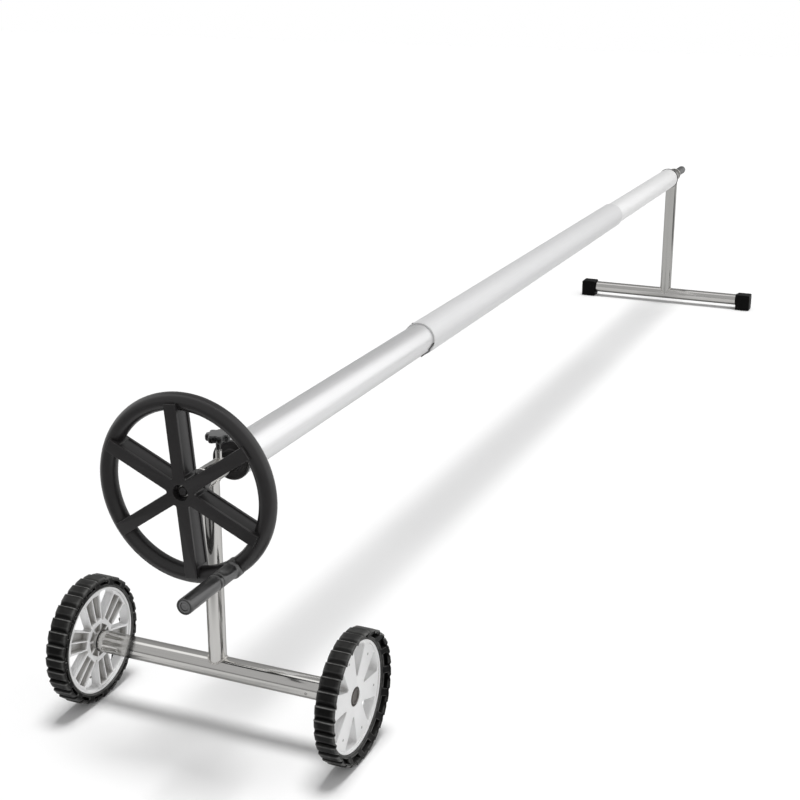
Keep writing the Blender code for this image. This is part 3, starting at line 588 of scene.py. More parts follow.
def makeBush(node, outwards, finish=None):
    face, root = endsOf(node, "y", outwards)
    flangeRadius = halfOf(node).x
    bodyRadius = flangeRadius - bearingBush["flangeOver"] - stand["sleeveWall"] - gap
    shoulder = face - outwards * bearingBush["flange"]
    profile = [
        (flangeRadius, face, 0.0007), (flangeRadius, shoulder, 0.0003), (bodyRadius, shoulder),
        (bodyRadius, root, 0.0006), (shaftBore, root, 0.0003), (shaftBore, face, 0.0005),
    ]
    dress(node, lathe(profile, 80, "Y", onShaft), finish)


makeBush("near_front_bush", -1)
makeBush("near_rear_bush", 1, finishes["black_moulding"])
makeBush("far_inner_bush", -1)
makeBush("far_outer_bush", 1)


def crossScrew(name, at, facing, radius, body, slot="polished_stainless"):
    # A small pan head with a cross recess, sunk a little in what holds it; sizes are shares of its radius
    crown, rim = (0.62 * radius, 0.50 * radius, 0.3 * radius), (radius, 0.12 * radius, 0.2 * radius)
    head = lathe([(0, 0.55 * radius), crown, rim, (radius, -0.3 * radius), (0, -0.3 * radius)], 40)
    size = Matrix.Diagonal((1.15 * radius, 0.24 * radius, 0.6 * radius, 1))
    for turn in (0, 90):
        slotCut = bmesh.new()
        bmesh.ops.create_cube(slotCut, size=1.0)
        move = Matrix.Translation((0, 0, 0.5 * radius)) @ Matrix.Rotation(math.radians(turn), 4, "Z") @ size
        bmesh.ops.transform(slotCut, matrix=move, verts=slotCut.verts)
        head = cutAway(head, slotCut)
    turnTo = Vector(facing).to_track_quat("Z", "Y").to_matrix().to_4x4()
    bmesh.ops.transform(head, matrix=Matrix.Translation(at) @ turnTo, verts=head.verts)
    addPiece(name, head, body, slot)


# each place is x along the axle tube and the degrees round it
axleScrews = {"radius": 0.0032, "places": [(-0.2120, 188), (-0.2440, 190), (0.1935, 190)]}
for index, (x, degrees) in enumerate(axleScrews["places"]):
    y, z = polar(1, degrees)
    spot = axle + Vector((x, y * halfOf("axle_tube").z, z * halfOf("axle_tube").z))
    crossScrew(f"axle_screw_{index + 1}", spot, (0, y, z), axleScrews["radius"], bodyOf["axle_tube"])


# Lock boss, stud and star knob

lock = {
    "bossHole": 0.0034, "bead": 0.0011, "beadRipples": 20, "threadPitch": 0.001, "threadDepth": 0.00035,
    "ringsPerThread": 8, "taperRings": 6, "taper": 0.0006, "lobes": 7, "lobeShape": 1.4, "drawIn": 0.21,
    "neck": 0.0050, "base": 0.0530, "knobBore": 0.0033, "boreTop": 0.0593, "highlightPlateDepth": 0.0006,
    "highlightReach": 0.90, "highlightDrawIn": 0.95,
}


def makeLockBoss():
    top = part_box("lock_boss")[1].z
    at = Vector((middleOf("lock_boss").x, middleOf("lock_boss").y, 0))
    radius = halfOf("lock_boss").x
    sleeve = lyingTop(halfOf("near_bearing_sleeve").x + gap, shaft.z, "Y")
    tube = mitredTube(radius, radius - lock["bossHole"], sleeve, lambda x, y: top, at, 64)
    dress("lock_boss", tube, steelZ)
    collar = weldBead(radius, sleeve, at, lock["bead"], lock["beadRipples"], 160)
    addPiece("lock_boss_weld", collar, bodyOf["lock_boss"], "polished_stainless", weldSteel, sharp=60)


def makeLockStud():
    low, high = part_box("lock_stud")
    at = middleOf("lock_stud")
    radius, steps = halfOf("lock_stud").x, 24
    count = int((high.z - low.z) / lock["threadPitch"] * lock["ringsPerThread"])
    rings = []
    for level in range(count + 1):
        height = low.z + (high.z - low.z) * level / count
        taper = min(level, count - level) / lock["taperRings"]
        ring = []
        for i in range(steps):
            phase = (height / lock["threadPitch"] + i / steps) % 1.0
            cut = lock["threadDepth"] * abs(2 * phase - 1) + lock["taper"] * max(0.0, 1 - taper)
            x, y = polar(radius - cut, 360 * i / steps)
            ring.append((at.x + x, at.y + y, height))
        rings.append(ring)
    dress("lock_stud", skin(rings), steelZ, sharp=60)


def lobeDip(i, steps):
    # 0 on the crest of a lobe, 1 in the dip between two of them
    return ((1 - math.cos(math.tau * i * lock["lobes"] / steps)) / 2) ** lock["lobeShape"]


def makeStarKnob():
    low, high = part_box("lock_knob")
    at = Vector((0, middleOf("lock_stud").y, shaft.z))
    base, top = lock["base"], high.z - shaft.z - lock["highlightPlateDepth"]
    neck, radius = lock["neck"], high.x
    # radius, height and how much the lobes are drawn in, from the neck's mouth up to the top
    profile = [
        (neck, low.z - shaft.z, 0.0), (neck, base - 0.0100, 0.0), (neck * 1.04, base - 0.0050, 0.0),
        (neck * 1.35, base - 0.0020, 0.0), (radius * 0.46, base - 0.0004, 0.1), (radius * 0.80, base, 0.8),
        (radius * 0.93, base + 0.0004, 1.0), (radius * 0.985, base + 0.0020, 1.0),
        (radius, base + 0.0040, 1.0), (radius, top - 0.0050, 1.0), (radius * 0.985, top - 0.0028, 1.0),
        (radius * 0.94, top - 0.0013, 0.96), (radius * 0.86, top - 0.0005, 0.85),
        (radius * 0.72, top - 0.0001, 0.55), (radius * 0.55, top, 0.2), (radius * 0.36, top - 0.0006, 0.0),
        (radius * 0.34, top - 0.0007, 0.0), (radius * 0.31, top, 0.0), (radius * 0.24, top, 0.0),
        (radius * 0.05, top, 0.0),
    ]
    steps = lock["lobes"] * 28
    rings = []
    for reach, height, share in profile:
        ring = []
        for i in range(steps):
            out = reach * (1 - lock["drawIn"] * share * lobeDip(i, steps))
            ring.append((out * math.cos(math.tau * i / steps), out * math.sin(math.tau * i / steps), height))
        rings.append(ring)
    hole, boreTop = lock["knobBore"], lock["boreTop"]
    mesh = cutAway(skin(rings), lathe([(0, boreTop), (hole, boreTop), (hole, 0), (0, 0)], 32))
    bmesh.ops.translate(mesh, vec=at, verts=mesh.verts)
    dress("lock_knob", mesh, sharp=40)
    # the pale plate in its top, a painted highlight, follows the seven lobes
    steps = lock["lobes"] * 16
    outline = []
    for i in range(steps):
        out = lock["highlightReach"] * radius * (1 - lock["highlightDrawIn"] * lock["drawIn"] * lobeDip(i, steps))
        outline.append(polar(out, 360 * i / steps))
    insert = plate([outline], top - 0.0010, top + 0.0005, 0.0003, 2)
    bmesh.ops.translate(insert, vec=at, verts=insert.verts)
    addPiece("lock_knob_top_highlight", insert, bodyOf["lock_knob"], "black_knob", knobHighlightGrey, sharp=40)


makeLockBoss()
makeLockStud()
makeStarKnob()
print("near stand and lock screw ready")


# Tyres

tyre = {
    "lugs": 30, "lugDepth": 0.0050, "steps": 960, "bore": 0.1048, "mouth": 0.0068, "halfWidth": 0.0210,
    "pockets": 16, "pocketRadius": 0.1125,
    # length and depth of the pockets on either side
    "innerPocket": (0.0280, 0.0085), "outerPocket": (0.0300, 0.0090),
    # where they lie: radii on the flat inner side, shares of the way in over the dished outer side
    "innerBand": (0.1106, 0.1167), "outerBand": (0.26, 0.76),
}
# shares of a lug's pitch at which each stretch starts and ends, and of its depth by which it falls
tread = {
    "crest": (0.0, 0.12), "crestFall": 0.10, "slopeFall": 0.30, "groove": (0.52, 0.86), "grooveFall": 0.60,
    "step": (0.90, 0.985),
}


def treadDrop(phase):
    # How far the tread lies below its crest: a rounded crest, a slow slope, a groove and a short step up
    depth, (stepStart, stepEnd) = tyre["lugDepth"], tread["step"]
    if phase > stepStart:
        return depth * (1 - blendStep(stepStart, stepEnd, phase))
    crest = tread["crestFall"] * blendStep(*tread["crest"], phase)
    groove = tread["grooveFall"] * blendStep(*tread["groove"], phase)
    return depth * (crest + tread["slopeFall"] * phase / stepStart + groove)


def pocketEnd(arc, length):
    # 1 along a sidewall pocket, 0 beyond its ends
    return 1 - blendStep(length / 2 - 0.0004, length / 2 + 0.0004, abs(arc))


def inBand(value, band):
    return 1 if band[0] <= value <= band[1] else 0


def tyreSection(crest):
    # Points of (x, radius, share of the tread's drop, pocket share, pocket's way in), outer side first
    half, bore, mouth = tyre["halfWidth"], tyre["bore"], tyre["mouth"]
    # x, distance below the crest and share of the tread's drop
    shoulder = [
        (0.0080, 0.0, 1), (0.0150, 0.0001, 1), (0.0176, 0.0004, 1), (0.0190, 0.0011, 1), (0.0199, 0.0022, 1),
        (0.0205, 0.0036, 0.95), (0.0209, 0.0052, 0.85), (half, 0.0070, 0.6), (half, 0.0074, 0.45),
    ]
    crown = [
        (0.0, 0.0, 1), (0.0080, 0.0, 1), (0.0150, 0.0001, 1), (0.0176, 0.0004, 1), (0.0187, 0.0012, 1),
        (0.0193, 0.0022, 1), (0.0196, 0.0034, 0.95),
    ]
    edge = Vector((crown[-1][0], crest - crown[-1][1]))
    dish = Vector((mouth + 0.0010, bore + 0.0010)) - edge
    outer = []
    for share in (0.06, 0.16, 0.25, 0.26, 0.35, 0.50, 0.65, 0.76, 0.77, 0.80, 0.94):
        spot = edge + dish * share
        pocket = inBand(share, tyre["outerBand"])
        outer.append((spot.x, spot.y, max(0.0, 0.9 - share * 4.5), pocket, (-1, 0.10)))
    outer += [(mouth + 0.0004, bore + 0.0003, 0, 0, (0, 0)), (mouth - 0.0020, bore, 0, 0, (0, 0))]
    inner = []
    for radius in (0.1172, 0.1169, 0.1167, 0.1152, 0.1136, 0.1121, 0.1106, 0.1104, 0.1101, 0.1080, 0.1066):
        inner.append((-half, radius, 0, inBand(radius, tyre["innerBand"]), (1, 0)))
    inner += [(0.0008 - half, 0.1055, 0, 0, (0, 0)), (0.0026 - half, bore, 0, 0, (0, 0))]
    shoulder = [(-x, crest - drop, share, 0, (0, 0)) for x, drop, share in shoulder]
    crown = [(x, crest - drop, share, 0, (0, 0)) for x, drop, share in crown]
    return list(reversed(shoulder)) + crown + outer + list(reversed(inner))


def makeTyre(word, side):
    at = middleOf(f"tyre_{word}")
    section = tyreSection(at.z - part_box(f"tyre_{word}")[0].z)
    pitch = math.tau / tyre["pockets"]
    rings = []
    for i in range(tyre["steps"]):
        turn = math.tau * i / tyre["steps"]
        # the solid's lugs start straight below the axle
        drop = treadDrop((turn + math.pi / 2) / math.tau * tyre["lugs"] % 1.0)
        arc = (turn % pitch - pitch / 2) * tyre["pocketRadius"]
        ring = []
        for x, radius, share, pocket, into in section:
            length, deep = tyre["outerPocket"] if x > 0 else tyre["innerPocket"]
            depth = deep * pocket * pocketEnd(arc, length)
            reach = radius - drop * share + into[1] * depth
            ring.append((side * (x + into[0] * depth), reach * math.cos(turn), reach * math.sin(turn)))
        rings.append(ring)
    mesh = skin(rings, loop=True)
    bmesh.ops.translate(mesh, vec=at, verts=mesh.verts)
    dress(f"tyre_{word}", mesh, sharp=34)


# Hubs: front plate, web with pocketed spokes behind it, rim ring with two lips, boss and cap recess

hub = {
    "turn": {"left": -9.0, "right": -18.0}, "rim": 0.1040, "rimWall": 0.0060, "lip": 0.0042,
    "lipFoot": 0.0048, "plateEdge": 0.0030, "plate": 0.0045, "outerFace": 0.0030, "outerLip": 0.0055,
    "innerFace": 0.0165, "innerLip": 0.0190, "bore": 0.0102, "boss": 0.0165, "capRecess": 0.0180,
    "capRecessDepth": 0.0105, "recessWall": 0.0025, "markRing": 0.0800,
}


def turnedOutline(points, degrees, ease=None, side=1):
    # Rounded outline turned about the hub, in the plate's own axes
    turn = Matrix.Rotation(math.radians(degrees), 2)
    ring = eased([(x, y, ease) for x, y in points] if ease else points, True, 5)
    spots = [turn @ Vector(point) for point in ring]
    return [(-side * spot.x, spot.y) for spot in spots]


def hubOpenings(first, side):
    # The openings between the spokes, the channels along each spoke's flanks and the cells round the boss
    window = [(*polar(0.0385, -3), 0.002), (*polar(0.0955, -15), 0.004)]
    window += [polar(0.0985, degrees) for degrees in (-9, -3, 3, 9)]
    window += [(*polar(0.0955, 15), 0.004), (*polar(0.0385, 3), 0.002)]
    windows = [turnedOutline(window, first + 30 + 60 * k, None, side) for k in range(6)]
    channel = [(0.0405, 0.00125), (0.0945, 0.00125), (0.0905, 0.0208), (0.0405, 0.0160)]
    channels = []
    for k in range(6):
        for flank in (-1, 1):
            flanked = [(x, flank * y) for x, y in channel]
            channels.append(turnedOutline(flanked, first + 60 * k, 0.0015, side))
    cell = [polar(0.0182, -16), polar(0.0330, -19.5), polar(0.0330, 19.5), polar(0.0182, 16)]
    cells = [turnedOutline(cell, first + 45 * k, 0.0015, side) for k in range(8)]
    return windows, channels, cells


def makeHub(word, side):
    at = Vector((side * stand["wheelSpread"], axle.y, axle.z))
    windows, channels, cells = hubOpenings(hub["turn"][word], side)
    outerFace, outerLip = hub["outerFace"], hub["outerLip"]
    innerFace, innerLip = hub["innerFace"], hub["innerLip"]
    rim, bore, boss, capRecess = hub["rim"], hub["bore"], hub["boss"], hub["capRecess"]
    inner, lip, lipFoot = rim - hub["rimWall"], rim - hub["lip"], rim - hub["lipFoot"]
    back = outerFace - hub["plate"]
    floor = outerFace - hub["capRecessDepth"]
    wall = capRecess + hub["recessWall"]
    disc = circle(rim - hub["plateEdge"])
    front = plate([disc] + windows + [circle(capRecess, 72)], back, outerFace, 0.0009)
    webEdge = [disc] + windows + channels
    web = plate(webEdge + [circle(capRecess + 0.0010, 72)], floor - 0.0020, back + 0.0004, 0.0002, 1)
    ribs = plate(webEdge + cells + [circle(bore + 0.0020, 48)], -innerFace, floor - 0.0018, 0.0004, 1)
    rimRing = lathe([
        (rim, outerLip, 0.0006), (rim, -innerLip, 0.0006), (lip, -innerLip, 0.0009),
        (lipFoot, -innerFace + 0.0008, 0.0005), (inner, -innerFace + 0.0008, 0.0006),
        (inner, outerFace - 0.0008, 0.0006), (lipFoot, outerFace - 0.0008, 0.0005), (lip, outerLip, 0.0009),
    ], 192)
    bored = lathe([
        (boss, -innerLip, 0.0008), (boss, floor - 0.0010, 0), (bore, floor - 0.0010, 0),
        (bore, -innerLip, 0.0005),
    ], 72)
    recess = lathe([
        (wall, outerFace - 0.0010, 0), (capRecess, outerFace - 0.0010, 0), (capRecess, floor, 0),
        (bore, floor, 0), (bore, floor - 0.0022, 0), (wall, floor - 0.0022, 0),
    ], 72)
    mesh = together([front, web, ribs, rimRing, bored, recess])
    # the plates' own +Z is the wheel's outer side
    turnOut = Matrix.Rotation(math.radians(90 * side), 4, "Y")
    if side < 0:
        turnOut = turnOut @ Matrix.Rotation(math.pi, 4, "Z")
    bmesh.ops.transform(mesh, matrix=Matrix.Translation(at) @ turnOut, verts=mesh.verts)
    dress(f"wheel_hub_{word}", mesh, sharp=35)


def makePinMarks(word, side):
    # A shallow ejector mark on each spoke, coloured grey: painted shade
    at = Vector((side * (stand["wheelSpread"] + hub["outerFace"]), axle.y, axle.z))
    turnOut = Matrix.Rotation(math.radians(90 * side), 4, "Y")
    marks = []
    for k in range(6):
        across, along = polar(hub["markRing"], hub["turn"][word] + 60 * k)
        mark = lathe([
            (0, 0.0002), (0.0016, 0.0002, 0.0003), (0.0022, 0.0004, 0.0002), (0.0026, 0.0, 0),
            (0.0026, -0.0006), (0, -0.0006),
        ], 28)
        spot = at + Vector((0, along, side * across))
        bmesh.ops.transform(mark, matrix=Matrix.Translation(spot) @ turnOut, verts=mark.verts)
        marks.append(mark)
    body = bodyOf[f"wheel_hub_{word}"]
    addPiece(f"hub_marks_{word}", together(marks), body, "pale_hub", markShadeGrey, sharp=60)


# Axle ends: plug, washer, stub axle, cap and the hub's bush

axleEnd = {
    "bore": 0.0063, "rod": 0.0060, "washer": 0.0135, "plugFlange": 0.003, "capDish": 0.0019,
    "capWall": 0.0024, "bushRim": 0.0130, "bushFlange": 0.0018, "bushBody": 0.0099,
}


def makeAxleEnd(word, side):
    bore, rod = axleEnd["bore"], axleEnd["rod"]
    outer, inside = endsOf(f"axle_plug_{word}", "x", side)
    radius = halfOf("axle_tube").z
    body = radius - stand["steelWall"] - gap
    flange = outer - side * axleEnd["plugFlange"]
    plugged = [
        (radius, outer, 0.0008), (radius, flange, 0.0003), (body, flange), (body, inside, 0.0005),
        (bore, inside, 0.0003), (bore, outer, 0.0003),
    ]
    dress(f"axle_plug_{word}", lathe(plugged, 80, "X", axle))
    low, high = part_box(f"axle_washer_{word}")
    dress(f"axle_washer_{word}", pipe(axleEnd["washer"], bore, low.x, high.x, "X", axle, 0.0003, 56), steelX)
    low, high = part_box(f"stub_axle_{word}")
    stub = [(0, high.x), (rod, high.x, 0.0008), (rod, low.x, 0.0008), (0, low.x)]
    dress(f"stub_axle_{word}", lathe(stub, 48, "X", axle), steelX)
    top, floor = endsOf(f"axle_cap_{word}", "x", side)
    dish, under = top - side * axleEnd["capDish"], top - side * axleEnd["capWall"]
    capped = [
        (0, dish), (0.0108, dish, 0.0006), (0.0118, top, 0.0005), (0.0138, top, 0.0010),
        (0.0150, floor, 0.0004), (bore, floor, 0.0003), (bore, under), (0, under),
    ]
    dress(f"axle_cap_{word}", lathe(capped, 64, "X", axle))
    top, bottom = endsOf(f"wheel_bush_{word}", "x", side)
    rim, body, flange = axleEnd["bushRim"], axleEnd["bushBody"], top - side * axleEnd["bushFlange"]
    lined = [
        (rim, top, 0.0004), (rim, flange, 0.0002), (body, flange), (body, bottom, 0.0003),
        (bore, bottom, 0.0002), (bore, top, 0.0003),
    ]
    dress(f"wheel_bush_{word}", lathe(lined, 56, "X", axle))


for word, side in (("left", -1), ("right", 1)):
    makeTyre(word, side)
    makeHub(word, side)
    makePinMarks(word, side)
    makeAxleEnd(word, side)
print("road wheels ready")


# Hand wheel and crank; their depths are along Y, and the front is the negative side

hand = {
    "radius": 0.160, "turn": 5.0, "rim": 0.016, "plane": -0.078, "front": -0.100, "back": -0.058,
    "spoke": 0.024, "flange": 0.006, "recess": 0.0014, "panelStart": 0.031, "panelEnd": 0.141,
    "boss": 0.021, "bossBack": -0.0316, "boltRecess": 0.0122, "recessMouth": 0.0150,
    "boltRecessDepth": 0.014,
}


def starOutline(narrowed):
    # The six arms seen from the front; narrowed draws their flanks in between hub and rim
    half = hand["spoke"] / 2
    inner, outer = hand["panelStart"], hand["panelEnd"]
    valley = half / math.tan(math.radians(30))
    ring = []
    for k in range(6):
        turn = Matrix.Rotation(math.radians(60 * k - 90 - hand["turn"]), 2)
        arm = [(hand["radius"], -half, 0.001), (hand["radius"], half, 0.001)]
        if narrowed:
            thin = half - hand["recess"]
            flank = [
                (inner, -half, 0.001), (inner, -thin, 0.0015), (outer, -thin, 0.0015), (outer, -half, 0.001),
            ]
            arm = flank + arm + [(x, -y, ease) for x, y, ease in reversed(flank)]
        arm.append((valley, half, 0.004))
        for x, y, ease in arm:
            spot = turn @ Vector((x, y))
            ring.append((spot.x, spot.y, ease))
    return eased(ring)


def makeHandWheel():
    front, back, flange = hand["front"], hand["back"], hand["flange"]
    mouth, boss = hand["recessMouth"], hand["boss"]
    recess = circle(mouth, 72)
    floor = front + hand["boltRecessDepth"]
    frontPlate = plate([starOutline(False), recess], front, front + flange, 0.0009, 3)
    web = plate([starOutline(True), recess], front + flange - 0.0009, back - flange + 0.0009, 0.0004, 1)
    backPlate = plate([starOutline(False), circle(shaftBore, 48)], back - flange, back, 0.0009, 3)
    section = []
    for i in range(40):
        turn = math.tau * i / 40
        out, along = hand["rim"] * math.cos(turn), hand["rim"] * math.sin(turn)
        section.append((hand["radius"] + out, hand["plane"] + along))
    rim = lathe(section, 224)
    bossTube = lathe([
        (boss, hand["bossBack"], 0.0012), (boss, back - 0.003), (shaftBore, back - 0.003),
        (shaftBore, hand["bossBack"], 0.0006),
    ], 96)
    cup = lathe([
        (mouth + 0.002, floor + 0.003), (mouth + 0.002, front + 0.003), (mouth - 0.0002, front + 0.003),
        (hand["boltRecess"], floor), (shaftBore, floor), (shaftBore, floor + 0.003),
    ], 72)
    dress("hand_wheel", laid(together([frontPlate, web, backPlate, rim, bossTube, cup]), "Y", shaft))


hubBolt = {"washerBore": 0.0042, "shank": 0.0039}


def makeHubScrew():
    low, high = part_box("hub_bolt_washer")
    head = low.y - gap
    outer, shank = halfOf("hub_bolt_washer").x, hubBolt["shank"]
    washer = pipe(outer, hubBolt["washerBore"], low.y, high.y, "Y", onShaft, 0.0003, 64)
    dress("hub_bolt_washer", washer, steelY)
    low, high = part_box("hub_bolt")
    radius = halfOf("hub_bolt").x
    bolt = [
        (0, low.y), (radius - 0.0030, low.y + 0.0001, 0.001), (radius, low.y + 0.0018, 0.0016),
        (radius, head, 0.0004), (shank, head), (shank, high.y, 0.0006), (0, high.y),
    ]
    dress("hub_bolt", lathe(bolt, 64, "Y", onShaft), finishes["black_moulding"])


crank = {
    "angle": -54.0, "neck": 0.0148, "foot": 0.0175, "shoulder": -0.144, "spindle": 0.0040, "steps": 144,
    "levels": 64,
    # the foot flares out between these two distances from the rim
    "flare": (0.0005, 0.0075),
    # the hollow in one side of the neck: where it points, half its width in degrees, depth and both ends
    "scoopTurn": 75.0, "scoopHalf": 52, "scoopDepth": 0.0046, "scoopStart": 0.0065, "scoopEnd": 0.0035,
}


def crankPlace():
    x, z = polar(hand["radius"], crank["angle"])
    return Vector((x, shaft.y, shaft.z + z))


def scoopAt(degrees, along):
    # Depth of the hollow; along runs from 0 at its outer end to 1 at the rim's side, both of them soft
    offTurn = (degrees - crank["scoopTurn"] + 180) % 360 - 180
    if not 0 < along < 1 or abs(offTurn) >= crank["scoopHalf"]:
        return 0.0
    around = math.cos(math.radians(90 * offTurn / crank["scoopHalf"])) ** 1.5
    return crank["scoopDepth"] * around * math.sin(math.pi * along) ** 1.2


def makeCrankBase():
    # The neck stands on the rim: its foot follows the rim's round surface, and one side is scooped out
    at = crankPlace()
    steps, levels, neck, shoulder = crank["steps"], crank["levels"], crank["neck"], crank["shoulder"]
    turns = [360 * i / steps for i in range(steps)]
    rimTop = hand["plane"] - hand["rim"]
    scoopStart, scoopEnd = shoulder + crank["scoopStart"], rimTop - crank["scoopEnd"]

    def rimFront(x, z):
        # front surface of the rim, seen from the crank's own centre
        away = math.hypot(at.x + x, at.z - shaft.z + z) - hand["radius"]
        return hand["plane"] - math.sqrt(max((hand["rim"] + gap) ** 2 - away ** 2, 0))

    bore = crank["spindle"] + gap
    made = [[(*polar(bore, degrees), shoulder) for degrees in turns]]
    for drawnIn, rise in ((0.0010, 0.0), (0.0003, 0.0006), (0.0, 0.0014)):
        made.append([(*polar(neck - drawnIn, degrees), shoulder + rise) for degrees in turns])
    for level in range(1, levels + 1):
        share = level / levels
        ring = []
        for degrees in turns:
            footing = rimFront(*polar(crank["foot"], degrees))
            depth = shoulder + 0.0014 + (footing - shoulder - 0.0014) * share
            flare = (crank["foot"] - neck) * (1 - blendStep(*crank["flare"], rimTop - depth))
            scoop = scoopAt(degrees, (depth - scoopStart) / (scoopEnd - scoopStart))
            ring.append((*polar(neck + flare - scoop, degrees), depth))
        made.append(ring)
    made.append([(*polar(bore, degrees), rimFront(*polar(bore, degrees))) for degrees in turns])
    mesh = skin([[(x, depth, z) for x, z, depth in ring] for ring in made], loop=True)
    bmesh.ops.translate(mesh, vec=at, verts=mesh.verts)
    dress("crank_base", mesh, neckBlack, sharp=40)


grip = {
    "mouth": 0.0114, "mouthDepth": 0.0042, "seat": 0.0088, "seatDepth": 0.0077, "insertOuter": 0.0111,
    "insertInner": 0.0080, "pinHead": 0.0074, "pinHeadDepth": 0.0050,
}


def makeCrankGrip():
    # An open end with a seat for the insert, a long body and a small groove before the shoulder
    at = crankPlace()
    low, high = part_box("crank_grip")
    start, end = low.y - at.y, high.y - at.y
    radius, mouth, seat = halfOf("crank_grip").x, grip["mouth"], start + grip["seatDepth"]
    spindle = crank["spindle"]
    bore, groove, collar = spindle + gap, radius - 0.0022, radius - 0.0002
    profile = [
        (mouth, start, 0.0003), (radius - 0.0004, start, 0.0016), (radius, start + 0.0040, 0.002),
        (radius - 0.0005, end - 0.0120, 0.002), (groove, end - 0.0108, 0.0008),
        (groove, end - 0.0085, 0.0008), (collar, end - 0.0072, 0.0012), (collar, end - 0.0012, 0.0010),
        (radius - 0.0012, end, 0.0006), (bore, end), (bore, seat), (grip["seat"], seat, 0.0003),
        (grip["seat"], start + grip["mouthDepth"]), (mouth, start + grip["mouthDepth"]),
    ]
    dress("crank_grip", lathe(profile, 96, "Y", at))
    insert = pipe(grip["insertOuter"], grip["insertInner"], start + 0.0009, start + 0.0040, "Y", at,
                  0.0006, 72)
    addPiece("crank_grip_insert", insert, bodyOf["crank_grip"], "dark_grip", pinGrey)
    low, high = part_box("crank_spindle")
    outer, inner = low.y - at.y, high.y - at.y
    headRadius, head = grip["pinHead"], outer + grip["pinHeadDepth"]
    pin = [
        (0, outer + 0.0012), (0.0030, outer + 0.0010, 0.001), (0.0046, outer, 0.0008),
        (headRadius, outer, 0.0012), (headRadius, head, 0.0002), (spindle, head), (spindle, inner, 0.0006),
        (0, inner),
    ]
    dress("crank_spindle", lathe(pin, 64, "Y", at), pinGrey)


makeHandWheel()
makeHubScrew()
makeCrankBase()
makeCrankGrip()
print("hand wheel and crank ready")


# Roller: tubes, plugs, shafts, seams and the far grip

roller = {"endWall": 0.0016, "centreWall": 0.0012, "steps": 160, "tubeEase": 0.00035, "linerFlange": 0.0014}
# each tongue is its two angles round the roller and how far it reaches out of the mouth
seam = {
    "tongues": [(-12, -28, 0.019), (-47, -48, 0.044)], "thick": 0.0022, "width": 0.0050, "root": 0.0010,
    "screwAngle": 118, "screwIn": 0.004, "screwRadius": 0.0030, "screwSunk": 0.0002,
}


def makeTube(node, wall):
    low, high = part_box(node)
    radius, inside = halfOf(node).x, halfOf(node).x - roller[wall]
    tube = pipe(radius, inside, low.y, high.y, "Y", onShaft, roller["tubeEase"], roller["steps"])
    dress(node, tube, tubeFinish[node])


def makeSeamLiner(node, outwards):
    face, root = endsOf(node, "y", outwards)
    flange = face - outwards * roller["linerFlange"]
    radius, bore = halfOf(node).x, halfOf("near_tube").x + gap
    body = halfOf("centre_tube").x - roller["centreWall"] - gap
    profile = [
        (radius, face, 0.0005), (radius, flange, 0.0002), (body, flange), (body, root, 0.0003),
        (bore, root, 0.0003), (bore, face, 0.0003),
    ]
    dress(node, lathe(profile, roller["steps"], "Y", onShaft), seamGrey)


def tongue(radius, fromAngle, toAngle, fromY, toY, steps=24):
    # A narrow strip laid on the roller; it may wind round it between its two ends
    half = math.degrees(seam["width"] / 2 / radius)
    top = radius + seam["thick"]
    rings = []
    for i in range(steps + 1):
        degrees = fromAngle + (toAngle - fromAngle) * i / steps
        y = fromY + (toY - fromY) * i / steps
        ring = []
        for reach, lean in ((radius, -half), (top, -half), (top, half), (radius, half)):
            x, z = polar(reach, degrees + lean)
            ring.append((x, y, shaft.z + z))
        rings.append(ring)
    return skin(rings)


def makeSeamTongues():
    # Two black tongues and a stop screw that show at the near seam's mouth
    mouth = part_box("near_seam_bush")[0].y
    radius = halfOf("near_tube").x + gap
    body = bodyOf["centre_tube"]
    for index, (start, end, reach) in enumerate(seam["tongues"]):
        strip = tongue(radius, start, end, mouth + seam["root"], mouth - reach)
        addPiece(f"seam_tongue_{index + 1}", strip, body, "black_moulding", finishes["black_knob"], sharp=40)
    x, z = polar(1, seam["screwAngle"])
    place = Vector((0, mouth + seam["screwIn"], shaft.z))
    at = Vector((x, 0, z)) * (halfOf("centre_tube").x - seam["screwSunk"]) + place
    crossScrew("seam_screw", at, (x, 0, z), seam["screwRadius"], body, "black_knob")


plug = {
    "boss": 0.017, "bossLength": 0.030, "wall": 0.004, "floor": 0.004,
    # radii of the ring-shaped hollow in the outer face, and its depth as a share of the flange
    "hollow": (0.0200, 0.0225, 0.0330, 0.0350), "hollowDepth": 0.4,
}


def makePlug(node, outwards, width, faceEase):
    face, root = endsOf(node, "y", outwards)
    flange = face - outwards * width
    back = flange - outwards * plug["floor"]
    bossEnd = flange - outwards * plug["bossLength"]
    dish = face - outwards * plug["hollowDepth"] * width
    rim, boss = halfOf(node).x, plug["boss"]
    outside = halfOf("near_tube").x - roller["endWall"] - gap
    inside = outside - plug["wall"]
    profile = [
        (rim, face, faceEase), (rim, flange, 0.0005), (outside, flange), (outside, root, 0.0006),
        (inside, root, 0.0004), (inside, back, 0.001), (boss, back, 0.001), (boss, bossEnd, 0.0005),
        (shaftBore, bossEnd), (shaftBore, face, 0.0004),
    ]
    depths = ((face, 0.0008), (dish, 0.0012), (dish, 0.0012), (face, 0.0008))
    profile += [(radius, depth, ease) for radius, (depth, ease) in zip(plug["hollow"], depths)]
    dress(node, lathe(profile, 112, "Y", onShaft))


shafts = {"radius": 0.0100, "collarScrew": 0.0026, "collarScrewSunk": 0.0006}


def makeShaftRing(node, ease, steps):
    low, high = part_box(node)
    dress(node, pipe(halfOf(node).x, shaftBore, low.y, high.y, "Y", onShaft, ease, steps), steelY)


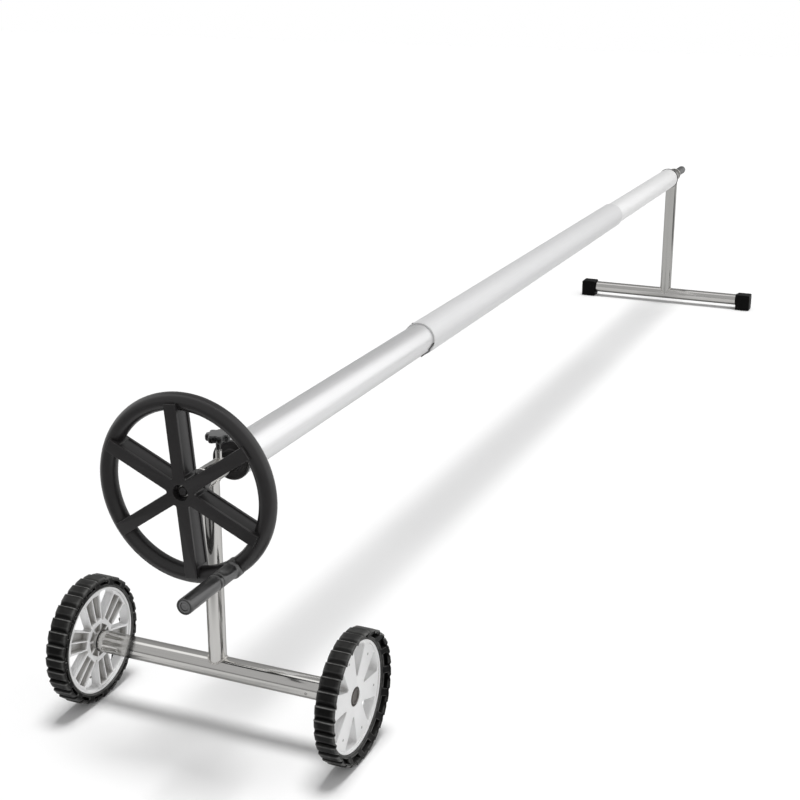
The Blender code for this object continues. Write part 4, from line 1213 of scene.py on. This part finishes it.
def makeShaftPieces():
    for node in ("front_shaft_washer", "rear_shaft_washer", "far_shaft_washer"):
        makeShaftRing(node, 0.0003, 72)
    makeShaftRing("retaining_collar", 0.0007, 80)
    top = shaft.z + halfOf("retaining_collar").x - shafts["collarScrewSunk"]
    at = Vector((0, middleOf("retaining_collar").y, top))
    crossScrew("collar_screw", at, (0, 0, 1), shafts["collarScrew"], "far_section")
    low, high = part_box("far_shaft")
    radius = shafts["radius"]
    rod = [(0, high.y), (radius, high.y, 0.0008), (radius, low.y, 0.0008), (0, low.y)]
    dress("far_shaft", lathe(rod, 72, "Y", onShaft), steelY)
    for node in ("drive_shaft", "drive_pin", "far_drive_pin"):
        piece = frame["nodes"][node]
        piece.data.materials.clear()
        piece.data.materials.append(steelY)


carryGrip = {
    "radius": 0.0150, "groove": 0.0139, "rings": 3, "ringsStart": 0.012, "ringsEnd": 0.016, "seat": 0.011,
}


def makeCarryGrip():
    # A rounded end, three grooved rings and a collar at the mouth
    low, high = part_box("carry_grip")
    start, end, collar = low.y, high.y, halfOf("carry_grip").x
    radius, groove = carryGrip["radius"], carryGrip["groove"]
    first, seat = start + carryGrip["ringsStart"], end - carryGrip["seat"]
    pitch = (end - carryGrip["ringsEnd"] - first) / carryGrip["rings"]
    profile = [
        (0, end), (0.0090, end - 0.0006, 0.004), (0.0140, end - 0.0040, 0.004), (radius, end - 0.0100, 0.003),
    ]
    for k in reversed(range(carryGrip["rings"])):
        place = first + pitch * k
        profile += [
            (radius, place + 0.0038, 0.0008), (groove, place + 0.0022, 0.0006), (groove, place, 0.0006),
            (radius, place - 0.0016, 0.0008),
        ]
    profile += [
        (collar - 0.0006, start + 0.0072, 0.001), (collar, start + 0.0050, 0.001),
        (collar, start + 0.0010, 0.0012), (radius, start, 0.0006), (shaftBore, start), (shaftBore, seat),
        (0, seat),
    ]
    dress("carry_grip", lathe(profile, 96, "Y", onShaft))


makeTube("near_tube", "endWall")
makeTube("centre_tube", "centreWall")
makeTube("far_tube", "endWall")
makeSeamLiner("near_seam_bush", -1)
makeSeamLiner("far_seam_bush", 1)
makeSeamTongues()
makePlug("near_tube_plug", -1, 0.0077, 0.0014)
makePlug("far_tube_plug", 1, 0.0030, 0.0008)
makeShaftPieces()
makeCarryGrip()
print("roller ready")


# Foot caps: rounded blocks bored for the bar, with a raised mouth round it

footCap = {
    "edge": 0.006, "mouth": 0.0026, "mouthLength": 0.003, "slim": 0.0020, "short": 0.005, "endWall": 0.007,
}


def makeFootCap(word, side):
    node = f"foot_cap_{word}"
    low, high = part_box(node)
    slim, short, inset = footCap["slim"], footCap["short"], footCap["mouthLength"]
    low = low + Vector((short if side > 0 else 0, slim, 0))
    high = high - Vector((0 if side > 0 else short, slim, 2 * slim))
    size = high - low
    middle = (low + high) / 2 + Vector((side * inset / 2, 0, 0))
    mesh = bmesh.new()
    bmesh.ops.create_cube(mesh, size=1.0)
    move = Matrix.Translation(middle) @ Matrix.Diagonal((size.x - inset, size.y, size.z, 1))
    bmesh.ops.transform(mesh, matrix=move, verts=mesh.verts)
    edges = list(mesh.edges)
    bmesh.ops.bevel(mesh, geom=edges, offset=footCap["edge"], segments=5, profile=0.6, affect="EDGES")
    innerEnd, outerEnd = (low.x, high.x) if side > 0 else (high.x, low.x)
    # the bore starts well outside the block
    start, end = sorted((innerEnd - side * 0.02, outerEnd - side * footCap["endWall"]))
    hole, at = halfOf("foot_bar").z + gap, (0, farFoot.y, farFoot.z)
    mesh = cutAway(mesh, lathe([(0, end), (hole, end), (hole, start), (0, start)], 96, "X", at))
    start, end = sorted((innerEnd, innerEnd + side * (inset + 0.002)))
    mouth = pipe(hole + footCap["mouth"], hole, start, end, "X", at, 0.0010, 96)
    dress(node, together([mesh, mouth]), capBlack, sharp=30)


makeFootCap("left", -1)
makeFootCap("right", 1)
print("far stand ready")


# Floor, world, light and camera

stage = {
    "floor": 14.0, "floorColour": 0.88, "floorInMetal": 0.66, "floorGlow": 0.03, "nearFloor": 0.24,
    "fade": (-2.50, -2.12), "darkPatch": (1.90, 2.40, 0), "patchSize": (1.15, 0.80, 1),
    "patchEdge": (0.70, 0.98), "patchShade": 0.16, "sideLight": (0.30, 0.85), "sideEdge": (0.0, 0.95),
    "nearGlow": 0.52, "topGlow": 1.15, "nearEdge": (-0.22, -0.13), "farGlow": 1.1, "farEdge": (0.12, 0.24),
    "cardMiddle": 0.30, "cardHalf": (0.25, 0.70), "cardGlow": 0.38,
    "sunStrength": 2.3, "sunAngle": 22.0, "sunTurn": (-4, 3, 0),
}


def seenStraight(tree, path):
    # 1 where the camera looks at it, straight or through something clear
    return maths(tree, "MAXIMUM", path.outputs["Is Camera Ray"], path.outputs["Is Transmission Ray"])


def makeFloor():
    mesh = bmesh.new()
    bmesh.ops.create_grid(mesh, x_segments=1, y_segments=1, size=stage["floor"])
    data = bpy.data.meshes.new("floor")
    mesh.to_mesh(data)
    mesh.free()
    made, tree, shader = newMaterial("pale floor")
    shader.inputs["Roughness"].default_value = 1.0
    shader.inputs["Specular IOR Level"].default_value = 0.0
    path = addNode(tree, "ShaderNodeLightPath")
    # mirrored in metal and plastic the floor is greyer, and it darkens towards the near side of the room
    place = addNode(tree, "ShaderNodeTexCoord").outputs["Object"]
    along = addNode(tree, "ShaderNodeSeparateXYZ", {0: place}).outputs["Y"]
    mirrored = ranged(tree, along, stage["nearFloor"], stage["floorInMetal"], *stage["fade"], "SMOOTHSTEP")
    # a dark patch to the right of the far stand, which only its post mirrors
    fromPatch = maths(tree, "SUBTRACT", place, stage["darkPatch"], kind="VectorMath")
    inPatch = maths(tree, "DIVIDE", fromPatch, stage["patchSize"], kind="VectorMath")
    offPatch = addNode(tree, "ShaderNodeVectorMath", {0: inPatch}, operation="LENGTH").outputs["Value"]
    patched = ranged(tree, offPatch, stage["patchShade"], mirrored, *stage["patchEdge"], "SMOOTHSTEP")
    level = ranged(tree, path.outputs["Is Glossy Ray"], stage["floorColour"], patched, 0.0, 1.0)
    tree.links.new(level, shader.inputs["Base Color"])
    shader.inputs["Emission Color"].default_value = (1, 1, 1, 1)
    glow = maths(tree, "MULTIPLY", seenStraight(tree, path), stage["floorGlow"])
    tree.links.new(glow, shader.inputs["Emission Strength"])
    data.materials.append(made)
    floor = bpy.data.objects.new("floor", data)
    bpy.context.scene.collection.objects.link(floor)


def makeWorld():
    world = bpy.data.worlds.new("pale studio")
    bpy.context.scene.world = world
    world.use_nodes = True
    tree = world.node_tree
    tree.nodes.clear()
    path = addNode(tree, "ShaderNodeLightPath")
    place = addNode(tree, "ShaderNodeTexCoord").outputs["Generated"]
    split = addNode(tree, "ShaderNodeSeparateXYZ", {0: place})
    across, along = split.outputs["X"], split.outputs["Y"]
    # mirrored: bright overhead, calmer on the near side, and ahead a dark card between two bright sides
    near = ranged(tree, along, stage["nearGlow"], stage["topGlow"], *stage["nearEdge"], "SMOOTHSTEP")
    offCard = maths(tree, "ABSOLUTE", maths(tree, "ADD", across, stage["cardMiddle"]))
    far = ranged(tree, offCard, stage["cardGlow"], stage["farGlow"], *stage["cardHalf"], "SMOOTHSTEP")
    ahead = ranged(tree, along, 0.0, 1.0, *stage["farEdge"], "SMOOTHSTEP")
    glow = addNode(tree, "ShaderNodeMix", {"Factor": ahead, 2: near, 3: far}).outputs[0]
    aside = ranged(tree, across, *stage["sideLight"], *stage["sideEdge"])
    shades = []
    for strength in (aside, glow, 1.0):
        wires = {"Color": (1, 1, 1, 1), "Strength": strength}
        shades.append(addNode(tree, "ShaderNodeBackground", wires).outputs[0])
    lit, mirrored, seen = shades
    indirect = addNode(tree, "ShaderNodeMixShader", {0: path.outputs["Is Glossy Ray"], 1: lit, 2: mirrored})
    straight = seenStraight(tree, path)
    final = addNode(tree, "ShaderNodeMixShader", {0: straight, 1: indirect.outputs[0], 2: seen})
    addNode(tree, "ShaderNodeOutputWorld", {"Surface": final.outputs[0]})


def makeSun():
    data = bpy.data.lights.new("soft overhead", "SUN")
    data.energy = stage["sunStrength"]
    data.angle = math.radians(stage["sunAngle"])
    sun = bpy.data.objects.new("soft overhead", data)
    sun.location = (0, 0, 4)
    sun.rotation_euler = [math.radians(degrees) for degrees in stage["sunTurn"]]
    sun.visible_glossy = False
    bpy.context.scene.collection.objects.link(sun)


view = {"place": (1.2632, -3.8075, 1.4325), "lookDown": 18.115, "turn": 23.381, "lens": 64.70, "sensor": 36}


def makeCamera():
    data = bpy.data.cameras.new("view")
    data.sensor_width = view["sensor"]
    data.lens = view["lens"]
    camera = bpy.data.objects.new("view", data)
    camera.location = view["place"]
    camera.rotation_euler = (math.radians(90 - view["lookDown"]), 0, math.radians(view["turn"]))
    bpy.context.scene.collection.objects.link(camera)
    bpy.context.scene.camera = camera


makeFloor()
makeWorld()
makeSun()
makeCamera()
bpy.context.scene.view_settings.view_transform = "Standard"
print("stage ready")
